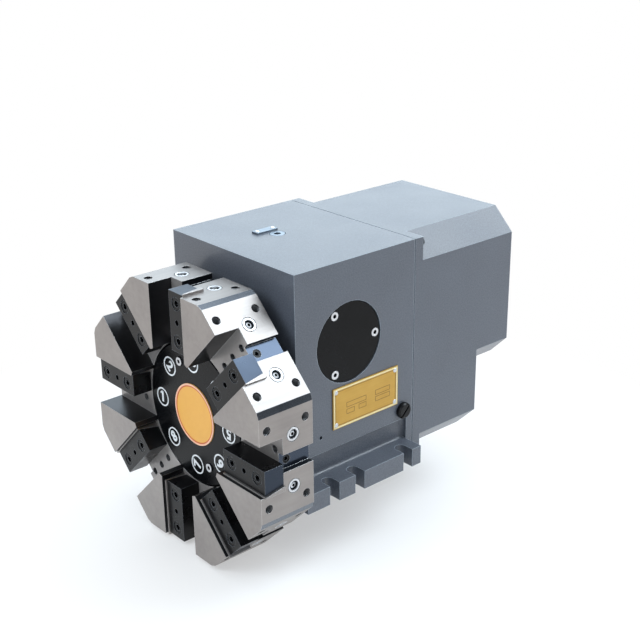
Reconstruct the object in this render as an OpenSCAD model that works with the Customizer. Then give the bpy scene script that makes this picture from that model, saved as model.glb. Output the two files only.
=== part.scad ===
// Lathe tool turret: a slotted eight-station tool disc that indexes on a cast housing.
// Millimetres, +Z up. The origin is the middle of the mounting face.
// The spindle axis runs along X at the centre height, with the tool disc towards -X.

/* [Mounting foot] */
// Height of the spindle axis above the mounting face
centre_height = 63; // [62:0.5:66]
// Length of the foot along the spindle
foot_l = 122; // [118:1:126]
// Width over both feet
foot_w = 187; // [182:1:194]
// Thickness of the feet
foot_t = 16; // [14:0.5:20]
// Width of the open bolt slots
slot_w = 10; // [8:0.5:12]
// Depth of the bolt slots from the side of the foot
slot_reach = 13.5; // [11:0.5:15]
// Distance from the front of the foot to the first slot
slot_start = 27.3; // [24:0.1:30]
// Distance between neighbouring slot places
slot_pitch = 26.6; // [24:0.1:28]

/* [Housing] */
// Length of the housing block
body_l = 123.6; // [121:0.2:130]
// Width of the housing block
body_w = 151.6; // [148:0.2:156]
// Height of the housing above the mounting face
body_h = 188; // [184:1:196]
// How far the foot stands ahead of the housing
front_step = 5.3; // [4:0.1:7]
// Thickness of the front wall
front_wall = 18; // [16:0.5:20]
// Thickness of the rear wall
rear_wall = 12; // [10:0.5:14]
// Thickness of the side and top walls
side_wall = 10; // [9:0.5:12]
// Thickness of the floor
floor_t = 14; // [12:0.5:15]
// Depth of the relief above the feet
relief_d = 4; // [3:0.25:5]
// Top of the relief above the mounting face
relief_top = 35.5; // [32:0.5:40]
// Radius of the coves in the relief
cove_r = 3; // [2:0.25:3.5]

/* [Motor cover] */
// Thickness of the cover's flange
cover_flange_t = 9.5; // [8:0.5:14]
// Length of the upper part of the cover
cover_l = 117.2; // [112:0.2:124]
// Length of the lower part of the cover
cover_low_l = 78.1; // [72:0.1:90]
// Height of the step between the two parts
cover_step_z = 53.7; // [48:0.1:56]
// How far the cover hangs below the mounting face
cover_drop = 5; // [3:0.5:7]
// Width of the bevels along the cover, measured along each side
cover_bevel = 19.5; // [17:0.5:22]
// Width of the bevels under the upper part, measured along each side
cover_under_bevel = 17.5; // [15:0.5:20]
// Wall of the cover
cover_wall = 4; // [3:0.25:5]
// Width of the shadow line where the cover meets the housing
seam_w = 0.9; // [0.5:0.1:1.5]
// Depth of the shadow line
seam_d = 0.8; // [0.4:0.1:1.5]
// Thread of the cover screws
cover_screw_d = 4; // [3:1:4]

/* [Side and top fittings] */
// Diameter of the round side cover
side_cover_d = 65.5; // [62:0.5:68]
// Thickness of the side cover
side_cover_t = 6; // [5:0.5:7]
// How far the side cover lies below the wall
side_cover_sink = 0.8; // [0.4:0.1:1.2]
// Thickness of the side cover's gasket
gasket_t = 0.8; // [0.5:0.1:1]
// Diameter of the hand hole behind the side cover
hand_hole_d = 44; // [40:1:46]
// Thread of the side cover screws
side_screw_d = 4; // [4:1:5]
// Length of the nameplate
plate_l = 69.8; // [60:0.2:72]
// Height of the nameplate
plate_h = 34.3; // [30:0.1:36]
// Thickness of the nameplate
plate_t = 1; // [0.5:0.1:1.5]
// Distance from the rear of the housing to the nameplate
plate_back = 18.1; // [14:0.1:20]
// Lower edge of the nameplate above the mounting face
plate_z = 51.5; // [50:0.5:56]
// Diameter of the rivet heads
rivet_d = 4; // [3:0.2:5]
// Diameter of the blanking plug's head
plug_d = 13.8; // [13:0.2:16]
// Height of the blanking plug above the mounting face
plug_z = 43.6; // [42:0.2:46]
// Distance from the rear of the housing to the blanking plug
plug_back = 11.3; // [10:0.1:13]
// Diameter of the small tapped hole low on the side
vent_d = 3.2; // [2.5:0.1:4]
// Height of the small tapped hole above the mounting face
vent_z = 48.8; // [46:0.2:50]
// Distance from the front of the housing to the small tapped hole
vent_front = 23.6; // [22:0.2:26]
// Diameter of the oil filler plug's head
filler_d = 13.8; // [12:0.2:16]
// Side offset of the oil filler plug from the spindle plane
filler_y = 9.6; // [6:0.2:12]
// Length of the direction plate on the top
arrow_l = 20.5; // [18:0.5:26]
// Width of the direction plate on the top
arrow_w = 7.4; // [6:0.2:9]
// Thickness of the direction plate
arrow_t = 1.5; // [1:0.1:2]

/* [Tool disc] */
// Gap between the tool disc and the housing
disc_gap = 12.25; // [11.5:0.25:14]
// Thickness of the tool disc
disc_t = 49.35; // [48:0.05:52]
// Size of the tool disc across its flats
disc_flats = 217; // [214:0.5:222]
// Width of the bevel on each ridge between two flats
ridge_w = 5.4; // [4:0.2:7]
// Diameter of the hub recess
hub_recess_d = 119; // [117:0.5:120]
// Depth of the hub recess from the disc's front
hub_recess_depth = 26; // [25:0.25:27]
// Depth of the register in the disc's rear that centres the tooth ring
register_depth = 8; // [7.5:0.25:9]
// Width of the tool pockets
pocket_w = 42; // [41:0.25:43]
// Depth of the tool pockets from the disc's front
pocket_depth = 21; // [20:0.25:22]
// Width of the key grooves behind the pockets
key_w = 14.4; // [12:0.2:16]
// Depth of the key grooves from the flats
key_depth = 5; // [4:0.25:5]

/* [Tool holder threads] */
// Distance between the holder holes across a flat
holder_span = 62.6; // [60:0.2:65]
// Distance between the holder holes along the axis
holder_pitch = 35.4; // [34:0.2:36]
// Distance from the disc's front to the first holder holes
holder_edge = 7; // [6:0.2:8]
// Diameter of the holder holes
holder_hole_d = 6.8; // [6:0.2:8]
// Depth of the holder holes
holder_hole_depth = 16; // [12:0.5:18]
// Distance between the two coolant plugs of a flat
coolant_span = 42; // [40:0.5:44]
// Distance from the disc's front to the coolant plugs
coolant_edge = 30.7; // [29:0.1:32]
// Diameter of the coolant plugs
coolant_d = 10.6; // [9:0.2:11.4]
// Length of the coolant plugs
coolant_l = 9; // [7:0.5:10]
// Diameter of the set screw in each key groove
groove_screw_d = 6.6; // [5:0.2:7]

/* [Wedge clamps] */
// How far the clamp bars lie below the disc's front
clamp_sink = 3.8; // [3.2:0.1:5]
// Width of a clamp bar at its front
clamp_front_w = 19.6; // [19:0.1:19.8]
// Width of a clamp bar at its rear
clamp_rear_w = 16.7; // [16:0.1:17.5]
// Radius halfway between the two screws of a clamp
clamp_bolt_r = 84.2; // [83:0.2:85]
// Distance between the two screws of a clamp
clamp_bolt_pitch = 30.2; // [28:0.2:32]
// Distance of the clamp screws from the middle of the pocket
clamp_bolt_offset = 8.8; // [8.4:0.1:9.4]
// Thread of the clamp screws
clamp_bolt_d = 6; // [5:1:6]
// Free travel of a clamp when its screws are loosened
clamp_travel = 3; // [2:0.25:3]
// Play between a clamp bar and its gib
gib_play = 0.25; // [0.15:0.05:0.35]
// How far the gibs lie below the disc's front
gib_sink = 2.6; // [2:0.1:3.4]
// How far the gibs stand out of the flats
gib_tab = 2; // [1:0.25:3]

/* [Hub] */
// Thickness of the hub cover
hub_cover_t = 5; // [4:0.25:5]
// Diameter of the hub badge
badge_d = 51; // [46:0.5:56]
// Thickness of the hub badge
badge_t = 1; // [0.8:0.1:1.2]
// Pitch radius of the hub cover screws
hub_screw_r = 43.5; // [42:0.25:45]
// Thread of the hub cover screws
hub_screw_d = 4; // [3:1:4]

/* [Toothed coupling] */
// Height of the coupling teeth
tooth_h = 3.5; // [3:0.1:3.8]
// Slope of the tooth flanks from the axis
tooth_flank = 30; // [25:1:32]
// Play at each flank in degrees about the axis
tooth_play = 0.35; // [0.25:0.05:0.5]
// Inner radius of the disc's tooth ring
disc_ring_r = 33; // [33:0.25:34]
// Outer radius of the disc's tooth ring
disc_ring_out_r = 44; // [43:0.25:44.5]
// Outer radius of the fixed tooth ring's spigot
fixed_ring_r = 50; // [49.5:0.25:50.5]
// Radius of the fixed tooth ring's flange
fixed_flange_r = 58.5; // [58.5:0.25:59.5]
// Thickness of the fixed tooth ring's flange
fixed_flange_t = 8; // [7:0.25:8.5]
// Depth of the tooth roots behind the housing's front
coupling_depth = 11.7; // [11:0.1:12.4]
// Thickness of the locking ring behind its teeth
lock_ring_t = 12; // [11:0.5:13]

/* [Drive] */
// Module of the drive gears
gear_module = 2; // [1.9:0.05:2]
// Face width of the cam gear
gear_w = 12; // [10:0.5:13]
// Depth of the cam gear behind the housing's front
gear_depth = 47.7; // [46:0.1:49]
// Play between the gear teeth
gear_play = 0.3; // [0.2:0.05:0.4]
// Radius of the cam rollers
roller_r = 4; // [3.5:0.25:4.25]
// Diameter of the drive motor
motor_d = 72; // [66:1:74]
// Length of the drive motor
motor_l = 96; // [90:1:104]
// Radius of the motor's pilot in the rear wall
motor_pilot_r = 21; // [19:0.5:21.5]
// Radius of the motor's snout round the shaft
motor_snout_r = 12; // [11:0.25:12.5]
// Radius of the motor shaft
motor_shaft_r = 7; // [6:0.25:7.5]

/* [Spindle] */
// Radius of the spindle in its bearings
spindle_r = 17.5; // [16.5:0.25:17.75]
// Outer radius of the spindle bearings
bearing_r = 27.5; // [27.25:0.25:27.75]
// Width of a spindle bearing
bearing_w = 10; // [9:0.5:11]
// Outer radius of the bearing sleeve
sleeve_r = 32.5; // [32:0.1:32.6]
// Radius of the bearing sleeve's flange
sleeve_flange_r = 44; // [43:0.5:46]
// Diameter of the position encoder
encoder_d = 38; // [34:0.5:39]
// Length of the position encoder
encoder_l = 30; // [26:0.5:34]

/* [Hidden] */
$fn = 64;
STATIONS = 8;
CLAMPS = [for (k = [1 : STATIONS]) str("clamp_bar_", k)];
CLAMP_SCREWS = [for (k = [1 : STATIONS]) str("clamp_screws_", k)];

// Colours
PAINT = "#6d747d";
GROUND_STEEL = "#b9b5b0";
DARK_STEEL = "#8b8d90";
BLACK_STEEL = "#26272a";
BRIGHT = "#d8dade";
BRASS = "#c9a24a";
ORANGE = "#ee9f45";
RUBBER = "#1c1c1c";
BLUE_GREY = "#55606e";

// Clearances
FIT = 0.05;         // a spigot, ring or shaft in its seat
RUN = 0.3;          // between pieces that move past each other
SCREW_FIT = 0.1;    // round a screw
HEAD_FIT = 0.4;     // round a screw head in its counterbore
HOLE_SPARE = 1;     // how far a blind hole runs past its screw
CUT = 1;            // how far a cutter passes a face

// Places along the spindle
body_x0 = -foot_l / 2 + front_step;
body_x1 = body_x0 + body_l;
disc_rear_x = body_x0 - disc_gap;
disc_front_x = disc_rear_x - disc_t;
seat_x = disc_rear_x - register_depth;
root_x = body_x0 + coupling_depth;
tip_clear = 0.7;
seat_clear = 0.3;
lock_travel = tooth_h + tip_clear - seat_clear;
lock_tip_x = root_x + tooth_h + tip_clear;
lock_rear_x = lock_tip_x + tooth_h + lock_ring_t;
roller_x = lock_rear_x + RUN + roller_r;
cam_x = roller_x + roller_r - lock_travel;
gear_x = body_x0 + gear_depth;
gear_mid_x = gear_x + gear_w / 2;
rear_wall_x = body_x1 - rear_wall;

// Coupling
TEETH = 24;
tooth_pitch = 360 / TEETH;
ring_gap = 0.5;
lock_ring_r = fixed_ring_r - RUN;
front_bore_r = fixed_ring_r + FIT;
guide_boss_r = front_bore_r + 8;
guide_pin_r = 3;
guide_pin_x = lock_rear_x - guide_pin_r - 1.7;
guide_slot_r = lock_ring_r - 3.5;
fixed_screw_d = 4;
fixed_screw_sink = fixed_screw_d + 0.4;
fixed_screw_bite = 10;
fixed_screw_r = (fixed_ring_r + fixed_flange_r) / 2 - 0.2;
FIXED_SCREWS = 8;
GUIDES = 3;

// Gears
GEAR_TEETH = 44;
PINION_TEETH = 14;
PRESSURE = 25;
addendum = 0.9 * gear_module;
dedendum = 1.25 * gear_module;
gear_centre = gear_module * (GEAR_TEETH + PINION_TEETH) / 2;
pinion_z = centre_height + gear_centre;
cam_in_r = sleeve_r + 2.5;
cam_out_r = gear_module * GEAR_TEETH / 2 - dedendum - 0.5;
ROLLERS = 6;

// Spindle and bearings
sleeve_front_x = root_x + tooth_h + 1.5;
bearing_front_x = sleeve_front_x + 2;
sleeve_flange_t = 8;
bearing_rear_x = rear_wall_x - bearing_w - 2;
nut_w = 8;
nut_r = bearing_r - 3;
spindle_end_x = bearing_rear_x + bearing_w + nut_w + 2;
spindle_neck_r = spindle_r + 3;
spindle_flange_r = disc_ring_r - 3;
spindle_flange_t = 10;
spindle_pilot_r = 15;
spindle_pilot_l = 8;
tail_r = 6;
tail_l = 16;
ball_circle_r = (spindle_r + bearing_r) / 2;
ball_r = 3.1;
race_gap = 1.9;
BALLS = 12;
SLEEVE_SCREWS = 6;
sleeve_screw_d = 6;
sleeve_screw_r = (sleeve_r + sleeve_flange_r) / 2 + 0.3;

// Motor and encoder
wall_bite = 8;      // how far the screws reach into the rear wall
motor_flange_t = 8;
motor_screw_d = 5;
motor_screw_place = motor_d / 2 - 6;
motor_snout_x = gear_x + gear_w + 6;
pinion_end_x = gear_x - 2;
motor_shaft_seat = 38;
coupling_x = spindle_end_x + 8;
coupling_r = 9;
coupling_l = 20;
encoder_shaft_r = 3;
encoder_shaft_l = 12;
bracket_t = 3;
bracket_flange_t = 4;
bracket_flange_r = 40;
bracket_x = coupling_x + coupling_l + 2;
bracket_top = gear_centre - motor_d / 2 - 1;
encoder_nose_r = 9;
encoder_screw_d = 4;
encoder_screw_r = bracket_flange_r - 4;

// Tool disc
apothem = disc_flats / 2;
station_step = 360 / STATIONS;
corner_r = apothem / cos(station_step / 2);
ridge_r = corner_r - ridge_w / 2 / tan(90 - station_step / 2);
clamp_thread_l = 11;
floor_hole_depth = clamp_thread_l + clamp_travel;
jack_hole_d = 4.4;
groove_screw_edge = 28;
groove_screw_l = 8;
coolant_hole_d = coolant_d + 2 * SCREW_FIT;
coolant_mouth_w = 0.6;
coolant_mouth_depth = 1;
disc_screw_d = 8;
disc_screw_r = (disc_ring_r + disc_ring_out_r) / 2;
disc_screw_sink = disc_screw_d + 0.6;
disc_screw_grip = disc_t - register_depth - hub_recess_depth - disc_screw_sink;
disc_screw_bite = 11;
hub_bolt_d = 6;
hub_bolt_r = (spindle_pilot_r + spindle_flange_r) / 2 - 0.4;
hub_bolt_sink = hub_bolt_d + 0.5;
hub_bolt_grip = disc_t - register_depth - hub_recess_depth - hub_bolt_sink;
hub_bolt_bite = 7;
HUB_BOLTS = 6;
hub_gap = 0.5;
hub_cover_r = hub_recess_d / 2 - hub_gap;
hub_cover_front = hub_recess_depth - hub_cover_t;
hub_head_h = 2.5;
hub_screw_l = hub_cover_t - hub_head_h / 2 + 7;
HUB_SCREW_ANGLES = [112.5, 292.5];

// Clamps
clamp_inner_r = hub_recess_d / 2 + hub_gap;
clamp_t = pocket_depth - clamp_sink;
clamp_taper = (clamp_front_w - clamp_rear_w) / clamp_t;
clamp_head_sink = clamp_bolt_d + 0.5;
clamp_seat = clamp_sink + clamp_head_sink;
clamp_bolt_l = pocket_depth + floor_hole_depth - clamp_seat - 2;
gib_front_y = -clamp_front_w - clamp_taper * (clamp_sink - gib_sink) - gib_play;

// Fittings
pinion_hole_x = gear_mid_x;
side_head_h = 3;
side_boss_t = 7;
side_boss_r = side_cover_d / 2 + 3.5;
SIDE_SCREW_ANGLES = [0, 120, 240];
side_rim_chamfer = 0.4;
side_screw_land = 0.5;
side_screw_r = side_cover_d / 2 - side_rim_chamfer - side_screw_land - head_r(side_screw_d) - HEAD_FIT;
side_screw_l = 9;
plate_x1 = body_x1 - plate_back;
plate_inset = 3.2;
rivet_shank_r = 0.9;
rivet_l = 5;
vent_depth = 8;
plug_x = body_x1 - plug_back;
plug_shank_r = plug_d / 2 - 2;
plug_shank_l = 7;
plug_head_h = 4;
filler_gap = 0.6;
filler_shank_r = filler_d / 2 - 1.6;
filler_head_h = 3;
filler_x = gear_mid_x + 0.8;
arrow_x = gear_mid_x - arrow_l / 2 - 3.1;
arrow_y = filler_y + filler_d / 2 + 0.4;
arrow_rivet_inset = 2.5;
cover_seat_x = body_x1 + cover_flange_t;
cover_screw_l = 10;
cover_screw_top = 6;
cover_screw_low = 3;
cover_screw_side = 6;
cover_head_sink = cover_screw_d - 1;

function clamp_angle(k) = 180 - station_step * (k - 1);

// Frame on the spindle axis at x, with Z towards the front and Y up
module facing_front(x) {
    translate([x, 0, centre_height]) rotate([90, 0, -90]) children();
}

// Frame on the spindle axis at x, with Z towards the rear and Y up
module facing_rear(x) {
    translate([x, 0, centre_height]) rotate([90, 0, 90]) children();
}

// Sweeps an outline drawn in Y and Z along X from x
module along_x(x, length) {
    translate([x, 0, 0]) rotate([90, 0, 90]) linear_extrude(length) children();
}

// Frame of a station: X outwards along the pocket, Z towards the front, origin in the disc's front
module at_angle(angle) {
    facing_front(disc_front_x) rotate(angle) children();
}

module both_sides() {
    children();
    mirror([0, 1, 0]) children();
}

module tube(r_in, r_out, h) {
    difference() {
        cylinder(r = r_out, h = h);
        translate([0, 0, -CUT]) cylinder(r = r_in, h = h + 2 * CUT);
    }
}

function head_r(d) = 0.75 * d + 0.5;

// Socket screw with its head on z = 0 and its shank below
module socket_screw(d, length, head_h) {
    socket_depth = 0.6 * head_h;
    difference() {
        union() {
            cylinder(r = head_r(d), h = head_h);
            translate([0, 0, -length]) cylinder(d = d, h = length + FIT);
        }
        translate([0, 0, head_h - socket_depth]) cylinder(r = 0.46 * d, h = socket_depth + CUT, $fn = 6);
    }
}

// Hole for a socket screw, with the head's seat on z = 0
module screw_hole(d, length, head_h) {
    translate([0, 0, -length]) cylinder(r = d / 2 + SCREW_FIT, h = length + CUT);
    cylinder(r = head_r(d) + HEAD_FIT, h = head_h);
}

// Housing casting

module relief_cutter() {
    inner_y = body_w / 2 - relief_d;
    end_x = foot_l / 2;
    translate([0, 0, foot_t])
        linear_extrude(relief_top - foot_t)
            difference() {
                translate([body_x0 - CUT, -body_w / 2 - CUT])
                    square([end_x - body_x0 + CUT, relief_d + CUT]);
                translate([end_x - cove_r, -inner_y - cove_r]) difference() {
                    square(cove_r + CUT);
                    circle(cove_r);
                }
            }
}

module relief_coves() {
    inner_y = body_w / 2 - relief_d;
    run = foot_l / 2 - body_x0;
    along_x(body_x0, run) translate([-inner_y, foot_t]) difference() {
        translate([-cove_r, -FIT]) square(cove_r + FIT);
        translate([-cove_r, cove_r]) circle(cove_r);
    }
    along_x(body_x0, run) translate([-inner_y, relief_top - cove_r]) difference() {
        translate([-cove_r, 0]) square(cove_r + FIT);
        translate([-cove_r, 0]) circle(cove_r);
    }
}

module foot_slots() {
    end_y = -foot_w / 2 + slot_reach - slot_w / 2;
    for (place = [0, 1, 3])
        translate([-foot_l / 2 + slot_start + place * slot_pitch, end_y, -CUT]) {
            cylinder(d = slot_w, h = foot_t + 2 * CUT);
            translate([-slot_w / 2, -foot_w / 2, 0]) cube([slot_w, foot_w / 2, foot_t + 2 * CUT]);
        }
}

module cavity() {
    x0 = body_x0 + front_wall;
    width = body_w - 2 * side_wall;
    translate([x0, -width / 2, floor_t]) cube([rear_wall_x - x0, width, body_h - side_wall - floor_t]);
}

module side_frame() {
    translate([pinion_hole_x, -body_w / 2, pinion_z]) rotate([90, 0, 0]) children();
}

module plate_rivet_places() {
    for (x = [plate_inset, plate_l - plate_inset], z = [plate_inset, plate_h - plate_inset])
        translate([plate_x1 - plate_l + x, -body_w / 2, plate_z + z]) rotate([90, 0, 0]) children();
}

module arrow_rivet_places() {
    for (x = [arrow_rivet_inset, arrow_l - arrow_rivet_inset])
        translate([arrow_x + x, arrow_y + arrow_w / 2, body_h]) children();
}

module rivet_hole(sheet) {
    translate([0, 0, -rivet_l]) cylinder(r = rivet_shank_r + FIT, h = rivet_l + sheet + CUT);
}

module cover_screw_places() {
    both_sides() {
        translate([cover_seat_x, -body_w / 2 + cover_screw_top, body_h - cover_screw_top])
            rotate([0, 90, 0]) children();
        translate([cover_seat_x - cover_head_sink, -body_w / 2 + cover_screw_side, cover_screw_low])
            rotate([0, 90, 0]) children();
    }
}

module motor_screw_places() {
    for (y = [-1, 1], z = [-1, 1])
        translate([body_x1 + motor_flange_t, y * motor_screw_place, pinion_z + z * motor_screw_place])
            rotate([0, 90, 0]) children();
}

module encoder_screw_places() {
    for (angle = [210, 270, 330])
        facing_rear(body_x1 + bracket_flange_t) rotate(angle) translate([encoder_screw_r, 0, 0]) children();
}

module housing_shell() {
    difference() {
        union() {
            translate([body_x0, -body_w / 2, 0]) cube([body_l, body_w, body_h]);
            translate([-foot_l / 2, -foot_w / 2, 0]) cube([foot_l, foot_w, foot_t]);
        }
        both_sides() relief_cutter();
        both_sides() foot_slots();
        cavity();
    }
    both_sides() relief_coves();
    // boss that guides the locking ring
    facing_rear(body_x0 + front_wall - CUT)
        cylinder(r = guide_boss_r, h = lock_rear_x - body_x0 - front_wall + CUT);
    // pad behind the side cover
    translate([0, side_wall + side_boss_t, 0]) side_frame()
        cylinder(r = side_boss_r, h = side_boss_t + CUT);
}

module housing() {
    side_depth = side_cover_sink + side_cover_t + gasket_t;
    color(PAINT) difference() {
        housing_shell();
        // front bore, and room for the fixed ring in the foot's front edge
        facing_rear(body_x0 - CUT) cylinder(r = front_bore_r, h = lock_rear_x - body_x0 + 2 * CUT);
        facing_rear(-foot_l / 2 - CUT) cylinder(r = fixed_flange_r + RUN, h = front_step + CUT);
        for (i = [0 : FIXED_SCREWS - 1])
            facing_front(body_x0) rotate((i + 0.5) * 360 / FIXED_SCREWS) translate([fixed_screw_r, 0, 0])
                screw_hole(fixed_screw_d, fixed_screw_bite + HOLE_SPARE, CUT);
        for (i = [0 : GUIDES - 1])
            facing_rear(guide_pin_x) rotate(90 + i * 360 / GUIDES) rotate([0, 90, 0])
                cylinder(r = guide_pin_r + FIT, h = guide_boss_r + CUT);
        // rear wall
        facing_rear(rear_wall_x - CUT) cylinder(r = sleeve_r + FIT, h = rear_wall + 2 * CUT);
        for (i = [0 : SLEEVE_SCREWS - 1])
            facing_front(rear_wall_x) rotate(i * 360 / SLEEVE_SCREWS) translate([sleeve_screw_r, 0, 0])
                screw_hole(sleeve_screw_d, wall_bite + HOLE_SPARE, CUT);
        translate([rear_wall_x - CUT, 0, pinion_z]) rotate([0, 90, 0])
            cylinder(r = motor_pilot_r + FIT, h = rear_wall + 2 * CUT);
        motor_screw_places() screw_hole(motor_screw_d, motor_flange_t + wall_bite + HOLE_SPARE, CUT);
        encoder_screw_places()
            screw_hole(encoder_screw_d, bracket_flange_t + wall_bite + HOLE_SPARE, CUT);
        cover_screw_places() screw_hole(cover_screw_d, cover_flange_t + cover_screw_l, CUT);
        // side fittings
        side_frame() {
            translate([0, 0, -side_depth]) cylinder(d = side_cover_d + 2 * RUN, h = side_depth + CUT);
            translate([0, 0, -side_wall - side_boss_t - CUT])
                cylinder(d = hand_hole_d, h = side_wall + side_boss_t + CUT);
            for (angle = SIDE_SCREW_ANGLES) rotate(angle)
                translate([side_screw_r, 0, -side_cover_sink - side_head_h])
                    screw_hole(side_screw_d, side_cover_t + gasket_t + side_screw_l, CUT);
        }
        plate_rivet_places() rivet_hole(plate_t);
        arrow_rivet_places() rivet_hole(arrow_t);
        translate([plug_x, -body_w / 2, plug_z]) rotate([90, 0, 0])
            translate([0, 0, -plug_shank_l - HOLE_SPARE])
                cylinder(r = plug_shank_r + FIT, h = plug_shank_l + HOLE_SPARE + CUT);
        translate([body_x0 + vent_front, -body_w / 2 - CUT, vent_z]) rotate([-90, 0, 0])
            cylinder(d = vent_d, h = vent_depth + CUT);
        translate([filler_x, filler_y, body_h - side_wall - CUT])
            cylinder(r = filler_shank_r + FIT, h = side_wall + 2 * CUT);
        translate([filler_x, filler_y, body_h - filler_head_h])
            cylinder(d = filler_d, h = filler_head_h + CUT);
    }
}

// Motor cover

// Upper outline of the cover, drawn in Y and Z
module cover_upper(inset) {
    half = body_w / 2 - inset;
    low = cover_step_z + inset;
    top = body_h - inset;
    bevel = cover_bevel - inset * (2 - sqrt(2));
    under = cover_under_bevel - inset * (2 - sqrt(2));
    polygon([[-half, low + under], [under - half, low], [half - under, low], [half, low + under],
             [half, top - bevel], [half - bevel, top], [bevel - half, top], [-half, top - bevel]]);
}

// Lower outline of the cover, which runs up into the upper one
module cover_lower(inset) {
    half = body_w / 2 - inset;
    low = -cover_drop + inset;
    top = cover_step_z + cover_under_bevel + cover_wall + CUT;
    bevel = cover_bevel - inset * (2 - sqrt(2));
    polygon([[bevel - half, low], [half - bevel, low], [half, low + bevel], [half, top],
             [-half, top], [-half, low + bevel]]);
}

// Frame round the front of the flange, which leaves a dark line against the housing
module seam_outline() {
    low = -cover_drop;
    difference() {
        translate([-body_w, low - body_w]) square([2 * body_w, body_h + 2 * body_w]);
        translate([-body_w / 2 + seam_d, low + seam_d])
            square([body_w - 2 * seam_d, body_h - low - 2 * seam_d]);
    }
}

module rear_cover() {
    color(PAINT) difference() {
        union() {
            along_x(body_x1, cover_flange_t)
                translate([-body_w / 2, -cover_drop]) square([body_w, body_h + cover_drop]);
            along_x(body_x1, cover_l) cover_upper(0);
            along_x(body_x1, cover_low_l) cover_lower(0);
        }
        along_x(body_x1 - CUT, cover_l - cover_wall + CUT) cover_upper(cover_wall);
        along_x(body_x1 - CUT, cover_low_l - cover_wall + CUT) cover_lower(cover_wall);
        cover_screw_places() screw_hole(cover_screw_d, cover_flange_t + CUT, cover_head_sink + CUT);
        along_x(body_x1 - CUT, seam_w + CUT) seam_outline();
    }
}

module rear_cover_screws() {
    color(BLACK_STEEL) cover_screw_places()
        socket_screw(cover_screw_d, cover_flange_t + cover_screw_l - 1, cover_screw_d);
}

// Side and top fittings

module side_cover() {
    edge_d = side_cover_d - 2 * side_rim_chamfer;
    color(BLACK_STEEL) side_frame() translate([0, 0, -side_cover_sink - side_cover_t]) difference() {
        union() {
            cylinder(d = side_cover_d, h = side_cover_t - side_rim_chamfer);
            translate([0, 0, side_cover_t - side_rim_chamfer])
                cylinder(d1 = side_cover_d, d2 = edge_d, h = side_rim_chamfer);
        }
        for (angle = SIDE_SCREW_ANGLES) rotate(angle)
            translate([side_screw_r, 0, side_cover_t - side_head_h])
                screw_hole(side_screw_d, side_cover_t + CUT, side_head_h + CUT);
    }
}

module side_cover_screws() {
    length = side_cover_t - side_head_h + gasket_t + side_screw_l - 1;
    color(BRIGHT) side_frame() for (angle = SIDE_SCREW_ANGLES) rotate(angle)
        translate([side_screw_r, 0, -side_cover_sink - side_head_h])
            socket_screw(side_screw_d, length, side_head_h);
}

module side_cover_gasket() {
    color(RUBBER) side_frame() translate([0, 0, -side_cover_sink - side_cover_t - gasket_t]) difference() {
        tube(hand_hole_d / 2, side_cover_d / 2, gasket_t);
        for (angle = SIDE_SCREW_ANGLES) rotate(angle) translate([side_screw_r, 0, -CUT])
            cylinder(r = side_screw_d / 2 + SCREW_FIT, h = gasket_t + 2 * CUT);
    }
}

module nameplate() {
    color(BRASS) difference() {
        translate([plate_x1 - plate_l, -body_w / 2 - plate_t, plate_z]) cube([plate_l, plate_t, plate_h]);
        plate_rivet_places() rivet_hole(plate_t);
    }
}

module direction_plate() {
    color(DARK_STEEL) difference() {
        translate([arrow_x, arrow_y, body_h]) cube([arrow_l, arrow_w, arrow_t]);
        arrow_rivet_places() rivet_hole(arrow_t);
    }
}

// Domed rivet through a plate that lies on z = 0
module rivet(sheet) {
    end_gap = 0.5;
    dome_h = rivet_d / 4;
    dome_r = (rivet_d * rivet_d / 4 + dome_h * dome_h) / (2 * dome_h);
    translate([0, 0, sheet]) intersection() {
        translate([0, 0, dome_h - dome_r]) sphere(r = dome_r);
        cylinder(d = rivet_d, h = dome_h + CUT);
    }
    translate([0, 0, end_gap - rivet_l]) cylinder(r = rivet_shank_r, h = rivet_l + sheet);
}

module plate_rivets() {
    color(BRIGHT) {
        plate_rivet_places() rivet(plate_t);
        arrow_rivet_places() rivet(arrow_t);
    }
}

// Filler plug, with its head sunk flush in the top
module filler_plug() {
    socket_depth = 5;
    color(DARK_STEEL) translate([filler_x, filler_y, body_h]) difference() {
        union() {
            translate([0, 0, -filler_head_h]) cylinder(r = filler_d / 2 - filler_gap, h = filler_head_h);
            translate([0, 0, -side_wall]) cylinder(r = filler_shank_r, h = side_wall - filler_head_h + FIT);
        }
        translate([0, 0, -socket_depth]) cylinder(r = 0.22 * filler_d, h = socket_depth + CUT, $fn = 6);
    }
}

module blanking_plug() {
    slot = 1.6;
    chamfer = 1.2;
    color(RUBBER) translate([plug_x, -body_w / 2, plug_z]) rotate([90, 0, 0]) difference() {
        union() {
            translate([0, 0, -plug_shank_l]) cylinder(r = plug_shank_r, h = plug_shank_l + FIT);
            cylinder(d = plug_d, h = plug_head_h - chamfer);
            translate([0, 0, plug_head_h - chamfer])
                cylinder(d1 = plug_d, d2 = plug_d - 2 * chamfer, h = chamfer);
        }
        rotate(45) translate([-plug_d / 2 - CUT, -slot / 2, plug_head_h - slot])
            cube([plug_d + 2 * CUT, slot, slot + CUT]);
    }
}

// Toothed coupling

// Gap between two teeth that stand on z = 0, with flanks that point at the axis
module tooth_gap(r_out) {
    half_angle = tooth_pitch / 4 + tooth_play;
    reach = r_out / 3;
    intersection() {
        rotate(half_angle) translate([0, 0, tooth_h / 2]) rotate([-tooth_flank, 0, 0])
            translate([0, -2 * reach, -reach]) cube([r_out + CUT, 2 * reach, 2 * reach]);
        rotate(-half_angle) translate([0, 0, tooth_h / 2]) rotate([tooth_flank, 0, 0])
            translate([0, 0, -reach]) cube([r_out + CUT, 2 * reach, 2 * reach]);
        translate([0, -reach, 0]) cube([r_out + CUT, 2 * reach, tooth_h + CUT]);
    }
}

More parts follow.
